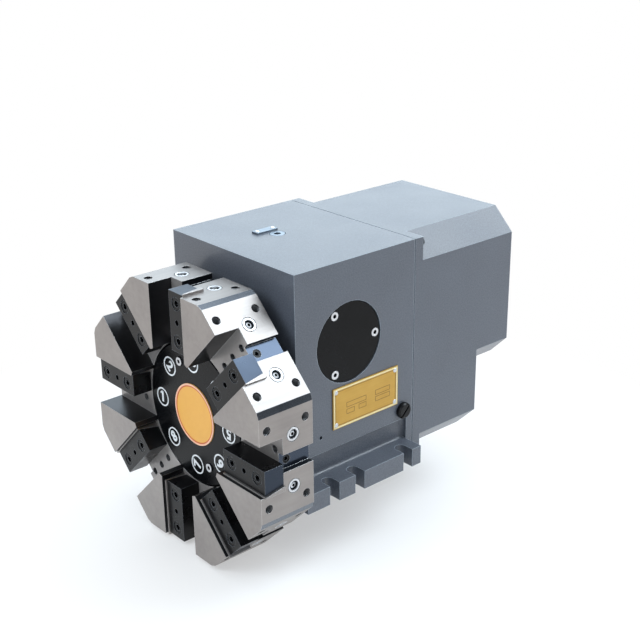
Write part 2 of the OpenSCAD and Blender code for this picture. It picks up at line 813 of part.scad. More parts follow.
// Toothed end of a ring: the teeth stand on z = 0 and their middles lie at first + n pitches
module toothed_end(r_in, r_out, first) {
    difference() {
        translate([0, 0, -FIT]) tube(r_in, r_out, tooth_h + FIT);
        for (i = [0 : TEETH - 1]) rotate(first + (i + 0.5) * tooth_pitch) tooth_gap(r_out);
    }
}

module fixed_tooth_ring() {
    bore_r = disc_ring_out_r + ring_gap;
    color(DARK_STEEL) difference() {
        union() {
            facing_rear(body_x0 - fixed_flange_t) tube(bore_r, fixed_flange_r, fixed_flange_t);
            facing_rear(body_x0 - FIT) tube(bore_r, fixed_ring_r, root_x - body_x0 + FIT);
            facing_rear(root_x) toothed_end(bore_r, fixed_ring_r, 0);
        }
        fixed_screw_seats() screw_hole(fixed_screw_d, fixed_flange_t, fixed_flange_t + CUT);
    }
}

module fixed_screw_seats() {
    for (i = [0 : FIXED_SCREWS - 1])
        facing_front(body_x0 - fixed_flange_t + fixed_screw_sink) rotate((i + 0.5) * 360 / FIXED_SCREWS)
            translate([fixed_screw_r, 0, 0]) children();
}

module fixed_ring_screws() {
    length = fixed_flange_t - fixed_screw_sink + fixed_screw_bite;
    color(BLACK_STEEL) fixed_screw_seats() socket_screw(fixed_screw_d, length, fixed_screw_d);
}

module front_seal() {
    margin = 1;
    r_in = disc_ring_out_r + ring_gap + margin;
    r_out = fixed_screw_r - head_r(fixed_screw_d) - margin;
    face_x = body_x0 - fixed_flange_t;
    height = disc_gap - fixed_flange_t - RUN;
    lip = 1;
    color(RUBBER) facing_front(face_x) rotate_extrude()
        polygon([[r_in, 0], [r_out - lip, 0], [r_out - lip, height / 3], [r_out, height],
                 [r_out - lip, height], [r_in, height / 2]]);
}

module disc_tooth_ring() {
    color(DARK_STEEL) difference() {
        union() {
            facing_rear(seat_x) tube(disc_ring_r, disc_ring_out_r, root_x - seat_x);
            facing_rear(root_x) toothed_end(disc_ring_r, disc_ring_out_r, 0);
        }
        disc_screw_seats() screw_hole(disc_screw_d, disc_screw_grip + disc_screw_bite + HOLE_SPARE, CUT);
    }
}

module lock_ring() {
    slot = 2 * guide_pin_r + 2 * RUN;
    slot_x = guide_pin_x - guide_pin_r - RUN;
    color(DARK_STEEL) difference() {
        union() {
            facing_rear(lock_tip_x + tooth_h) tube(sleeve_r + RUN, lock_ring_r, lock_ring_t);
            facing_front(lock_tip_x + tooth_h) toothed_end(disc_ring_r, lock_ring_r, tooth_pitch / 2);
        }
        for (i = [0 : GUIDES - 1])
            facing_rear(slot_x) rotate(90 + i * 360 / GUIDES)
                translate([guide_slot_r, -slot / 2, 0]) cube([lock_ring_r, slot, lock_ring_t]);
    }
}

module guide_pins() {
    inner_r = guide_slot_r + RUN;
    color(BRIGHT) for (i = [0 : GUIDES - 1])
        facing_rear(guide_pin_x) rotate(90 + i * 360 / GUIDES) translate([inner_r, 0, 0]) rotate([0, 90, 0])
            cylinder(r = guide_pin_r, h = guide_boss_r - inner_r);
}

// Drive

function involute_angle(a) = tan(a) * 180 / PI - a;

// Half the angle that a gear tooth takes up at radius r
function half_tooth(r, teeth) =
    let (pitch_r = gear_module * teeth / 2,
         base_r = pitch_r * cos(PRESSURE),
         a = r > base_r ? acos(base_r / r) : 0)
    90 / teeth + involute_angle(PRESSURE) - involute_angle(a) - gear_play / 4 / pitch_r * 180 / PI;

module gear_outline(teeth) {
    pitch_r = gear_module * teeth / 2;
    steps = 5;
    radii = [for (i = [0 : steps]) pitch_r - dedendum + i * (addendum + dedendum) / steps];
    polygon([for (t = [0 : teeth - 1], side = [-1, 1], i = [0 : steps])
        let (r = side < 0 ? radii[i] : radii[steps - i],
             a = t * 360 / teeth + side * half_tooth(r, teeth))
        [r * cos(a), r * sin(a)]]);
}

module cam_gear() {
    apex_x = roller_x + (roller_r + FIT) * sqrt(2);
    color(DARK_STEEL) difference() {
        union() {
            facing_rear(gear_x) linear_extrude(gear_w) gear_outline(GEAR_TEETH);
            facing_rear(cam_x) tube(cam_in_r, cam_out_r, gear_x - cam_x + FIT);
        }
        facing_rear(cam_x - CUT) cylinder(r = sleeve_r + RUN, h = gear_x + gear_w - cam_x + 2 * CUT);
        for (i = [0 : ROLLERS - 1])
            facing_front(apex_x) rotate(i * 360 / ROLLERS) rotate([45, 0, 0])
                cube([cam_out_r + CUT, 4 * roller_r, 4 * roller_r]);
    }
}

module cam_rollers() {
    color(BRIGHT) for (i = [0 : ROLLERS - 1])
        facing_front(roller_x) rotate(i * 360 / ROLLERS) translate([cam_in_r + 0.5, 0, 0])
            rotate([0, 90, 0]) cylinder(r = roller_r, h = cam_out_r - cam_in_r - 1);
}

module motor_pinion() {
    shaft_l = motor_snout_x + motor_shaft_seat - pinion_end_x;
    color(DARK_STEEL) translate([0, 0, gear_centre]) {
        facing_rear(gear_x) linear_extrude(gear_w) gear_outline(PINION_TEETH);
        facing_rear(pinion_end_x) cylinder(r = motor_shaft_r, h = shaft_l);
    }
}

module motor_body() {
    fin_w = 5;
    fins = 6;
    fin_depth = 2.5;
    fin_start = 14;
    fin_x = body_x1 + motor_flange_t + fin_start;
    color(BLUE_GREY) difference() {
        translate([0, 0, gear_centre]) difference() {
            union() {
                facing_rear(motor_snout_x) cylinder(r = motor_snout_r, h = body_x1 - motor_snout_x + CUT);
                facing_rear(rear_wall_x) cylinder(r = motor_pilot_r, h = rear_wall + CUT);
                along_x(body_x1, motor_flange_t)
                    translate([0, centre_height]) square(motor_d, center = true);
                facing_rear(body_x1) cylinder(d = motor_d, h = motor_l);
            }
            facing_rear(motor_snout_x - CUT)
                cylinder(r = motor_shaft_r + FIT, h = motor_shaft_seat + 2 * CUT);
            for (i = [0 : fins - 1])
                facing_rear(fin_x + 2 * fin_w * i) tube(motor_d / 2 - fin_depth, motor_d, fin_w);
        }
        motor_screw_places() screw_hole(motor_screw_d, motor_flange_t + CUT, motor_l);
    }
}

module motor_screws() {
    color(BLACK_STEEL) motor_screw_places()
        socket_screw(motor_screw_d, motor_flange_t + wall_bite, motor_screw_d);
}

// Spindle and bearings

module bearing_sleeve() {
    shoulder_x = bearing_front_x + bearing_w;
    length = body_x1 - sleeve_front_x;
    color(DARK_STEEL) difference() {
        union() {
            facing_rear(sleeve_front_x) cylinder(r = sleeve_r, h = length);
            facing_rear(rear_wall_x - sleeve_flange_t) cylinder(r = sleeve_flange_r, h = sleeve_flange_t);
        }
        facing_rear(sleeve_front_x - CUT)
            cylinder(r = bearing_r + FIT, h = shoulder_x - sleeve_front_x + CUT);
        facing_rear(sleeve_front_x) cylinder(r = bearing_r - 2.5, h = length);
        facing_rear(bearing_rear_x) cylinder(r = bearing_r + FIT, h = body_x1 - bearing_rear_x + CUT);
        sleeve_screw_seats() screw_hole(sleeve_screw_d, sleeve_flange_t + CUT, CUT);
    }
}

module sleeve_screw_seats() {
    for (i = [0 : SLEEVE_SCREWS - 1])
        facing_front(rear_wall_x - sleeve_flange_t) rotate(i * 360 / SLEEVE_SCREWS)
            translate([sleeve_screw_r, 0, 0]) children();
}

module sleeve_screws() {
    color(BLACK_STEEL) sleeve_screw_seats()
        socket_screw(sleeve_screw_d, sleeve_flange_t + wall_bite, sleeve_screw_d);
}

module ball_groove() {
    rotate_extrude() translate([ball_circle_r, bearing_w / 2]) circle(ball_r + RUN);
}

module bearing_places() {
    facing_rear(bearing_front_x) children();
    facing_rear(bearing_rear_x) children();
}

module bearing_outer_rings() {
    color(BRIGHT) bearing_places() difference() {
        tube(ball_circle_r + race_gap, bearing_r, bearing_w);
        ball_groove();
    }
}

module bearing_inner_rings() {
    color(BRIGHT) bearing_places() difference() {
        tube(spindle_r + FIT, ball_circle_r - race_gap, bearing_w);
        ball_groove();
    }
}

module bearing_balls() {
    color(BRIGHT) bearing_places() for (i = [0 : BALLS - 1])
        rotate(i * 360 / BALLS) translate([ball_circle_r, 0, bearing_w / 2]) sphere(r = ball_r);
}

module spindle() {
    color(DARK_STEEL) difference() {
        union() {
            facing_rear(seat_x - spindle_pilot_l)
                cylinder(r = spindle_pilot_r, h = spindle_pilot_l + CUT);
            facing_rear(seat_x) cylinder(r = spindle_flange_r, h = spindle_flange_t);
            facing_rear(seat_x) cylinder(r = spindle_neck_r, h = bearing_front_x - seat_x);
            facing_rear(seat_x) cylinder(r = spindle_r, h = spindle_end_x - seat_x);
            facing_rear(spindle_end_x - CUT) cylinder(r = tail_r, h = tail_l + CUT);
        }
        hub_bolt_seats() screw_hole(hub_bolt_d, hub_bolt_grip + hub_bolt_bite + HOLE_SPARE, CUT);
    }
}

module spindle_nut() {
    grip_w = 5;
    grip_depth = 2;
    color(BLACK_STEEL) facing_rear(bearing_rear_x + bearing_w) difference() {
        tube(spindle_r + FIT, nut_r, nut_w);
        for (i = [0 : 3]) rotate(45 + 90 * i)
            translate([nut_r - grip_depth, -grip_w / 2, grip_depth]) cube([bearing_r, grip_w, nut_w]);
    }
}

module encoder_coupling() {
    saw_w = 1.2;
    color(BRIGHT) difference() {
        union() {
            facing_rear(coupling_x) cylinder(r = coupling_r, h = coupling_l);
            facing_rear(coupling_x + coupling_l - CUT)
                cylinder(r = encoder_shaft_r, h = bracket_x - coupling_x - coupling_l + encoder_shaft_l);
        }
        facing_rear(coupling_x - CUT)
            cylinder(r = tail_r + FIT, h = spindle_end_x + tail_l - coupling_x + CUT + FIT);
        for (i = [0 : 3])
            facing_rear(coupling_x + coupling_l / 2 + 2 * saw_w * i) rotate(90 * i)
                translate([-coupling_r / 2, -coupling_r - CUT, 0])
                    cube([2 * coupling_r, 2 * coupling_r + 2 * CUT, saw_w]);
    }
}

module encoder_bracket() {
    bell_r = encoder_d / 2 + 1;
    color(DARK_STEEL) difference() {
        union() {
            facing_rear(body_x1) intersection() {
                cylinder(r = bracket_flange_r, h = bracket_flange_t);
                translate([-bracket_flange_r, -bracket_flange_r, 0])
                    cube([2 * bracket_flange_r, bracket_flange_r + bracket_top, bracket_flange_t]);
            }
            facing_rear(body_x1) cylinder(r = bell_r, h = bracket_x - body_x1 + bracket_t);
        }
        facing_rear(body_x1 - CUT) cylinder(r = bell_r - bracket_t, h = bracket_x - body_x1 + CUT);
        facing_rear(bracket_x - CUT) cylinder(r = encoder_nose_r + FIT, h = bracket_t + 2 * CUT);
        encoder_screw_places() screw_hole(encoder_screw_d, bracket_flange_t + CUT, CUT);
    }
}

module encoder_screws() {
    color(BLACK_STEEL) encoder_screw_places()
        socket_screw(encoder_screw_d, bracket_flange_t + wall_bite, encoder_screw_d);
}

module encoder_body() {
    cap_l = 6;
    cap_step = 2;
    color(BLACK_STEEL) difference() {
        union() {
            facing_rear(bracket_x) cylinder(r = encoder_nose_r, h = bracket_t + CUT);
            facing_rear(bracket_x + bracket_t) cylinder(d = encoder_d, h = encoder_l - cap_l);
            facing_rear(bracket_x + bracket_t) cylinder(r = encoder_d / 2 - cap_step, h = encoder_l);
        }
        facing_rear(bracket_x - CUT)
            cylinder(r = encoder_shaft_r + FIT, h = encoder_shaft_l + HOLE_SPARE + CUT);
    }
}

// Tool disc

module disc_outline() {
    intersection() {
        rotate(station_step / 2) circle(r = corner_r, $fn = STATIONS);
        circle(r = ridge_r / cos(station_step / 2), $fn = STATIONS);
    }
}

module holder_holes() {
    for (y = [-1, 1], edge = [holder_edge, holder_edge + holder_pitch])
        translate([apothem - holder_hole_depth, y * holder_span / 2, -edge]) rotate([0, 90, 0])
            cylinder(d = holder_hole_d, h = holder_hole_depth + CUT);
}

module pocket_floor_holes() {
    for (y = [-1, 1]) translate([clamp_bolt_r, y * clamp_bolt_offset, -pocket_depth - floor_hole_depth]) {
        for (place = [-1, 0, 1]) translate([place * clamp_bolt_pitch / 2, 0, 0])
            cylinder(r = clamp_bolt_d / 2 + SCREW_FIT, h = floor_hole_depth + CUT);
    }
}

module coolant_places() {
    for (y = [-1, 1])
        translate([apothem - coolant_l, y * coolant_span / 2, -coolant_edge]) rotate([0, 90, 0]) children();
}

module groove_screw_place() {
    translate([apothem - key_depth - groove_screw_l, 0, -groove_screw_edge]) rotate([0, 90, 0]) children();
}

module station_cutters() {
    translate([0, -pocket_w / 2, -pocket_depth]) cube([disc_flats, pocket_w, pocket_depth + CUT]);
    translate([apothem - key_depth, -key_w / 2, -disc_t - CUT])
        cube([disc_flats, key_w, disc_t - pocket_depth + 2 * CUT]);
    holder_holes();
    pocket_floor_holes();
    coolant_places() {
        cylinder(d = coolant_hole_d, h = coolant_l + CUT);
        translate([0, 0, coolant_l - coolant_mouth_depth])
            cylinder(r = coolant_d / 2 + coolant_mouth_w, h = coolant_mouth_depth + CUT);
    }
    groove_screw_place() cylinder(d = groove_screw_d + 2 * SCREW_FIT, h = groove_screw_l + CUT);
}

module disc_screw_seats() {
    for (i = [0 : STATIONS - 1])
        at_angle(i * station_step)
            translate([disc_screw_r, 0, disc_screw_grip + register_depth - disc_t]) children();
}

module hub_bolt_seats() {
    for (i = [0 : HUB_BOLTS - 1])
        at_angle((i + 0.5) * 360 / HUB_BOLTS)
            translate([hub_bolt_r, 0, hub_bolt_grip + register_depth - disc_t]) children();
}

module hub_screw_seats() {
    for (angle = HUB_SCREW_ANGLES)
        at_angle(angle) translate([hub_screw_r, 0, -hub_cover_front - hub_head_h / 2]) children();
}

module tool_disc() {
    color(GROUND_STEEL) difference() {
        facing_front(disc_front_x) translate([0, 0, -disc_t]) linear_extrude(disc_t) disc_outline();
        for (k = [1 : STATIONS]) at_angle(clamp_angle(k)) station_cutters();
        facing_front(disc_front_x) translate([0, 0, -hub_recess_depth])
            cylinder(d = hub_recess_d, h = hub_recess_depth + CUT);
        facing_rear(seat_x) cylinder(r = disc_ring_out_r + FIT, h = register_depth + CUT);
        facing_rear(seat_x - spindle_pilot_l - RUN)
            cylinder(r = spindle_pilot_r + FIT, h = spindle_pilot_l + RUN + CUT);
        disc_screw_seats() screw_hole(disc_screw_d, disc_screw_grip + CUT, disc_screw_sink + CUT);
        hub_bolt_seats() screw_hole(hub_bolt_d, hub_bolt_grip + CUT, hub_bolt_sink + CUT);
        hub_screw_seats() screw_hole(hub_screw_d, hub_screw_l + HOLE_SPARE, CUT);
    }
}

module disc_screws() {
    color(BLACK_STEEL) {
        disc_screw_seats() socket_screw(disc_screw_d, disc_screw_grip + disc_screw_bite, disc_screw_d);
        hub_bolt_seats() socket_screw(hub_bolt_d, hub_bolt_grip + hub_bolt_bite, hub_bolt_d);
    }
}

module hub_cover() {
    rim = 1.2;
    color(BLACK_STEEL) difference() {
        facing_front(disc_front_x) translate([0, 0, -hub_recess_depth]) {
            cylinder(r = hub_cover_r, h = hub_cover_t - rim);
            translate([0, 0, hub_cover_t - rim])
                cylinder(r1 = hub_cover_r, r2 = hub_cover_r - rim, h = rim);
        }
        facing_front(disc_front_x) translate([0, 0, -hub_cover_front - badge_t / 2])
            cylinder(d = badge_d + 2 * SCREW_FIT, h = badge_t);
        hub_screw_seats() screw_hole(hub_screw_d, hub_cover_t + CUT, hub_head_h + CUT);
    }
}

module hub_badge() {
    color(ORANGE) facing_front(disc_front_x) translate([0, 0, -hub_cover_front - badge_t / 2])
        cylinder(d = badge_d, h = badge_t);
}

module hub_cover_screws() {
    color(BRIGHT) hub_screw_seats() socket_screw(hub_screw_d, hub_screw_l, hub_head_h);
}

// Coolant outlet: a plug whose recess shows a ball with a small bore
module coolant_plugs() {
    recess_r = 0.36 * coolant_d;
    recess_depth = 1.8;
    outlet_ball_r = 0.32 * coolant_d;
    ball_sink = 0.4;
    bore_r = 0.12 * coolant_d;
    bore_depth = 5;
    color(BRIGHT) for (k = [1 : STATIONS]) at_angle(clamp_angle(k)) coolant_places() difference() {
        union() {
            cylinder(d = coolant_d, h = coolant_l - recess_depth);
            tube(recess_r, coolant_d / 2, coolant_l);
            translate([0, 0, coolant_l - ball_sink - outlet_ball_r]) sphere(r = outlet_ball_r);
        }
        translate([0, 0, coolant_l - bore_depth]) cylinder(r = bore_r, h = bore_depth + CUT);
    }
}

module groove_screws() {
    socket_depth = 4;
    sink = 0.5;
    color(BLACK_STEEL) for (k = [1 : STATIONS]) at_angle(clamp_angle(k)) groove_screw_place() difference() {
        cylinder(d = groove_screw_d, h = groove_screw_l - sink);
        translate([0, 0, groove_screw_l - socket_depth])
            cylinder(r = 0.28 * groove_screw_d, h = socket_depth + CUT, $fn = 6);
    }
}

// Wedge clamps

// Sweeps an outline drawn across and along the axis outwards from radius r
module along_radius(r, length) {
    translate([r, 0, 0]) rotate([90, 0, 90]) linear_extrude(length) children();
}

module gib_plates() {
    color(GROUND_STEEL) for (k = [1 : STATIONS]) at_angle(clamp_angle(k))
        along_radius(clamp_inner_r, apothem + gib_tab - clamp_inner_r)
            polygon([[-pocket_w / 2, -gib_sink], [gib_front_y, -gib_sink],
                     [-clamp_rear_w - gib_play, -pocket_depth], [-pocket_w / 2, -pocket_depth]]);
}

module clamp_bolt_seats(k) {
    at_angle(clamp_angle(k)) for (side = [-1, 1])
        translate([clamp_bolt_r + side * clamp_bolt_pitch / 2, -clamp_bolt_offset, -clamp_seat]) children();
}

module clamp_bar(k) {
    color(BLACK_STEEL) difference() {
        at_angle(clamp_angle(k)) difference() {
            along_radius(clamp_inner_r, apothem - clamp_inner_r)
                polygon([[0, -clamp_sink], [-clamp_front_w, -clamp_sink],
                         [-clamp_rear_w, -pocket_depth], [0, -pocket_depth]]);
            translate([clamp_bolt_r, -clamp_bolt_offset, -pocket_depth - CUT])
                cylinder(d = jack_hole_d, h = pocket_depth + 2 * CUT);
        }
        clamp_bolt_seats(k) screw_hole(clamp_bolt_d, pocket_depth, clamp_head_sink + CUT);
    }
}

module clamp_screws(k) {
    color(BLACK_STEEL) clamp_bolt_seats(k) socket_screw(clamp_bolt_d, clamp_bolt_l, clamp_bolt_d);
}

housing();
rear_cover();
rear_cover_screws();
side_cover();
side_cover_screws();
side_cover_gasket();
nameplate();
direction_plate();
plate_rivets();
filler_plug();
blanking_plug();
fixed_tooth_ring();
fixed_ring_screws();
front_seal();
bearing_sleeve();
sleeve_screws();
bearing_outer_rings();
motor_body();
motor_screws();
encoder_body();
encoder_bracket();
encoder_screws();
guide_pins();
tool_disc();
disc_tooth_ring();
disc_screws();
hub_cover();
hub_badge();
hub_cover_screws();
gib_plates();
coolant_plugs();
groove_screws();
spindle();
spindle_nut();
bearing_inner_rings();
bearing_balls();
encoder_coupling();
lock_ring();
cam_gear();
cam_rollers();
motor_pinion();
for (k = [1 : STATIONS]) {
    clamp_bar(k);
    clamp_screws(k);
}
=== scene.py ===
# %% [markdown]
# # A lathe tool turret
# The turret is a steel disc that holds eight cutting tools and turns them to the work one after another.
# Its solids come ready made from the CAD model, so this lesson is about what a camera sees on them:
# textured paint, ground steel, blackened clamps, printed station numbers, a riveted plate and the light
# of a studio.

# %% Load the CAD model
import math

import bpy
from mathutils import Matrix, Vector


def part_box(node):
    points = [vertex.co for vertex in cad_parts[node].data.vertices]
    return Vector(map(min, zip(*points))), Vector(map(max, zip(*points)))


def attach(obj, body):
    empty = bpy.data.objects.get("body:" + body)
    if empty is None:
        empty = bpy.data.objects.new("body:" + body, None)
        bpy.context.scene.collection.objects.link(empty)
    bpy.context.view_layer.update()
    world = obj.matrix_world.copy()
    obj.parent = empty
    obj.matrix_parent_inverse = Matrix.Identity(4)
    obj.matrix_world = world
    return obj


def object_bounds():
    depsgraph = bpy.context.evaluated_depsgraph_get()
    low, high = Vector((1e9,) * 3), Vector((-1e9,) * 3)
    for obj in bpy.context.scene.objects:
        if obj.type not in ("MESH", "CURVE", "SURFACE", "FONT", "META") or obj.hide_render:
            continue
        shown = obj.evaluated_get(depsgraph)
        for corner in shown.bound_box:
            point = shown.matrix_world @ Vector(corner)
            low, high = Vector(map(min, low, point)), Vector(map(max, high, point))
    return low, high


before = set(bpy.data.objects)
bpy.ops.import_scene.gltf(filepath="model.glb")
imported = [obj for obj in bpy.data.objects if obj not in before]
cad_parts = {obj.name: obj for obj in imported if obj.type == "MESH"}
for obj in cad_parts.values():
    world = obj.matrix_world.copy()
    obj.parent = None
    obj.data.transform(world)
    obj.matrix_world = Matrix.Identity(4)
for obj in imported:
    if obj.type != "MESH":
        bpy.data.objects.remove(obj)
cad_low, cad_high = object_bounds()
MM = 0.001
scene = bpy.context.scene
bpy.ops.object.select_all(action="DESELECT")
print("CAD nodes:", len(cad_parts), "box", cad_low, cad_high)

# %% [markdown]
# ## The camera
# The photograph was taken from the front left and a little above. A camera can be aimed with a
# constraint, but here its axes are built from three angles, because then the small roll of the picture is
# a number too.

# %% Camera
CAMERA_PLACE = Vector((-557.66, -683.99, 469.34)) * MM
CAMERA_AZIMUTH = math.radians(40.87)
CAMERA_TILT = math.radians(21.84)
CAMERA_ROLL = math.radians(0.77)
CAMERA_LENS = 65.68
SENSOR_WIDTH = 36
turret_middle = (cad_low + cad_high) / 2

ahead = Vector((math.sin(CAMERA_AZIMUTH) * math.cos(CAMERA_TILT),
                math.cos(CAMERA_AZIMUTH) * math.cos(CAMERA_TILT),
                -math.sin(CAMERA_TILT)))
level_right = ahead.cross(Vector((0, 0, 1))).normalized()
level_up = level_right.cross(ahead)
picture_right = math.cos(CAMERA_ROLL) * level_right - math.sin(CAMERA_ROLL) * level_up
picture_up = picture_right.cross(ahead)

bpy.ops.object.camera_add()
camera = bpy.context.object
camera.name = "photo_camera"
camera.data.lens = CAMERA_LENS
camera.data.sensor_width = SENSOR_WIDTH
axes = Matrix((picture_right, picture_up, -ahead)).transposed()
camera.matrix_world = Matrix.Translation(CAMERA_PLACE) @ axes.to_4x4()
scene.camera = camera
print("camera stands", round((CAMERA_PLACE - turret_middle).length, 3), "m from the turret")

# %% [markdown]
# ## The studio
# The turret was lit by a large soft light from above, which turns the upper flats of the disc almost
# white and leaves the side of the housing dark. A sun lamp would give hard shadows, so panels do the
# work: a large one overhead, a bright one that the upper flats mirror into the camera, a cool one behind
# that puts a sheen on the top of the housing, and two smaller ones in front that lift the hub and the
# hollows of the housing.

# %% Lamps
COOL_WHITE = (0.88, 0.95, 1.0)
FLAT_WHITE = (0.83, 0.93, 1.0)
SKY_WHITE = (0.78, 0.91, 1.0)
scene.view_settings.view_transform = "Standard"


def softbox(name, place, width, height, watts, colour):
    """A rectangular lamp that faces the turret."""
    bpy.ops.object.light_add(type="AREA", location=place)
    lamp = bpy.context.object
    lamp.name = name
    lamp.data.shape = "RECTANGLE"
    lamp.data.size = width
    lamp.data.size_y = height
    lamp.data.energy = watts
    lamp.data.color = colour
    lamp.rotation_euler = (turret_middle - Vector(place)).to_track_quat("-Z", "Y").to_euler()


softbox("ceiling_panel", (0.2, 0.1, 1.6), width=1.8, height=1.4, watts=13, colour=COOL_WHITE)
softbox("flat_panel", (1.03, -0.63, 1.29), width=1.1, height=1.0, watts=21, colour=FLAT_WHITE)
softbox("back_panel", (1.2, 1.4, 1.0), width=2.4, height=1.5, watts=25, colour=SKY_WHITE)
softbox("front_panel", (-1.5, 0.3, 1.3), width=1.0, height=1.0, watts=18, colour=COOL_WHITE)
softbox("fill_panel", (-0.8, -1.5, 0.6), width=1.0, height=0.8, watts=3, colour=COOL_WHITE)

# %% [markdown]
# ## Shader sums in plain Python
# A material is a net of nodes, and a pattern often needs a little arithmetic. Wiring Math nodes by hand
# hides the formula, so one small class wraps a socket: adding or multiplying two of them adds the Math
# node for it.

# %% Socket wrapper
class Value:
    """A number that changes over a surface, and the sums that can be done with it."""

    def __init__(self, finish, socket):
        self.finish = finish
        self.socket = socket

    def math(self, operation, *others, swap=False):
        """Adds a Math node. With swap, this value comes last, as in 1 - mask."""
        terms = (*others, self) if swap else (self, *others)
        return self.finish.add("ShaderNodeMath", {"operation": operation}, dict(enumerate(terms)))

    def __add__(self, other):
        return self.math("ADD", other)

    def __sub__(self, other):
        return self.math("SUBTRACT", other)

    def __rsub__(self, other):
        return self.math("SUBTRACT", other, swap=True)

    def __mul__(self, other):
        return self.math("MULTIPLY", other)

    __radd__ = __add__
    __rmul__ = __mul__

    def between(self, low, high):
        """0 at low, 1 at high and level outside."""
        return self.finish.add("ShaderNodeMapRange", {"clamp": True},
                               {"Value": self, "From Min": low, "From Max": high})

    def within(self, low, high):
        """1 from low to high and 0 outside."""
        return self.math("GREATER_THAN", low) * self.math("LESS_THAN", high)

    def sibling(self, output):
        """Another output of the same node."""
        return Value(self.finish, self.socket.node.outputs[output])


# %% [markdown]
# ## Building a finish
# All finishes are made of the same few things: a noise, a slow cloud of it, a mix of two colours, a
# painted highlight along the edges and a bump. Each gets a method, so that a finish reads like a recipe.
# The Bevel node bends the normals near an edge. Where the bent and the true normal differ there is an
# edge, and the finishes paint a highlight there.

# %% Finish builder
EDGE_SAMPLES = 6
EDGE_FROM = 0.01
EDGE_FULL = 0.2
CLOUD_LOW = 0.3
CLOUD_HIGH = 0.7
MIX_FIRST_COLOUR = 6
MIX_SECOND_COLOUR = 7
MIX_COLOUR_OUT = 2


class Finish:
    """One material: a Principled shader and the nodes that feed it."""

    def __init__(self, name):
        self.material = bpy.data.materials.new(name)
        self.material.use_nodes = True
        self.tree = self.material.node_tree
        self.shader = self.tree.nodes["Principled BSDF"]

    def feed(self, socket, value):
        """Links a value to a socket, or sets the socket to a constant."""
        if isinstance(value, Value):
            self.tree.links.new(value.socket, socket)
        else:
            socket.default_value = value

    def add(self, kind, settings=None, inputs=None, output=0):
        """Adds a node, sets it up, feeds its sockets and returns one of its outputs."""
        made = self.tree.nodes.new(kind)
        for key, value in (settings or {}).items():
            setattr(made, key, value)
        for key, value in (inputs or {}).items():
            self.feed(made.inputs[key], value)
        return Value(self, made.outputs[output])

    def surface(self, **sockets):
        """Feeds the shader's sockets by their names and returns the material."""
        for key, value in sockets.items():
            self.feed(self.shader.inputs[key.replace("_", " ").title().replace("Ior", "IOR")], value)
        return self.material

    def vector(self, operation, *terms, output="Vector"):
        """Adds a Vector Math node."""
        return self.add("ShaderNodeVectorMath", {"operation": operation}, dict(enumerate(terms)), output)

    def axis(self, vector, letter):
        """One of the three numbers of a vector."""
        return self.add("ShaderNodeSeparateXYZ", None, {0: vector}, letter)

    def place(self, stretch=(1, 1, 1), centre=(0, 0, 0)):
        """Object coordinates, moved to a centre and then stretched."""
        where = self.add("ShaderNodeTexCoord", output="Object")
        return self.vector("MULTIPLY", self.vector("SUBTRACT", where, centre), stretch)

    def noise(self, scale, detail=2, stretch=(1, 1, 1), roughness=0.5):
        inputs = {"Vector": self.place(stretch), "Scale": scale, "Detail": detail, "Roughness": roughness}
        return self.add("ShaderNodeTexNoise", None, inputs)

    def cloud(self, scale, stretch=(1, 1, 1)):
        """Noise that is spread out to run from 0 to 1."""
        return self.noise(scale, detail=3, stretch=stretch).between(CLOUD_LOW, CLOUD_HIGH)

    def mix(self, share, first, second):
        """A colour between two others."""
        inputs = {"Factor": share, MIX_FIRST_COLOUR: first, MIX_SECOND_COLOUR: second}
        return self.add("ShaderNodeMix", {"data_type": "RGBA"}, inputs, MIX_COLOUR_OUT)

    def rounded(self, radius):
        """Normals that run round every edge, as if the edge had been broken with a file."""
        return self.add("ShaderNodeBevel", {"samples": EDGE_SAMPLES}, {"Radius": radius})

    def edges(self, radius):
        """1 along the edges and 0 on the faces between them."""
        face = self.add("ShaderNodeNewGeometry", output="Normal")
        along = self.vector("DOT_PRODUCT", self.rounded(radius), face, output="Value")
        return (1 - along).between(EDGE_FROM, EDGE_FULL)

    def bump(self, height, depth, normal=None):
        """Normals bent by a pattern of heights, on top of the normals that are given."""
        inputs = {"Height": height, "Distance": depth, "Strength": 1.0}
        if normal is not None:
            inputs["Normal"] = normal
        return self.add("ShaderNodeBump", None, inputs)


def rgb(red, green, blue):
    """A colour as it looks on a screen, 0 to 255, turned into the linear light that shaders use."""
    def linear(level):
        share = level / 255
        return share / 12.92 if share <= 0.04045 else ((share + 0.055) / 1.055) ** 2.4
    return (linear(red), linear(green), linear(blue), 1.0)


# %% [markdown]
# ## Floor
# The floor is white paper that keeps a soft shadow under the turret. Further out it fades into plain
# white for the eye and for mirrors, while light that bounces off it still comes from the paper, so the
# fade lights nothing. Brighter lamps would whiten the paper too, but they would wash out the turret with
# it.

# %% Floor
FLOOR_DROP = 1.5 * MM
FLOOR_SIZE = 12
FLOOR_TONE = rgb(244, 244, 244)
WHITE = (1, 1, 1, 1)
SHADOW_FADE = 0.45
SHADOW_CORE = 0.12
SHADOW_REACH = 0.42


def looked_at(finish):
    """1 for rays that look: from the camera, or by way of a mirror or glass. 0 for light that bounces."""
    seen = finish.add("ShaderNodeLightPath", output="Is Camera Ray")
    mirrored = seen.sibling("Is Glossy Ray")
    through = seen.sibling("Is Transmission Ray")
    return seen.math("MAXIMUM", mirrored).math("MAXIMUM", through)


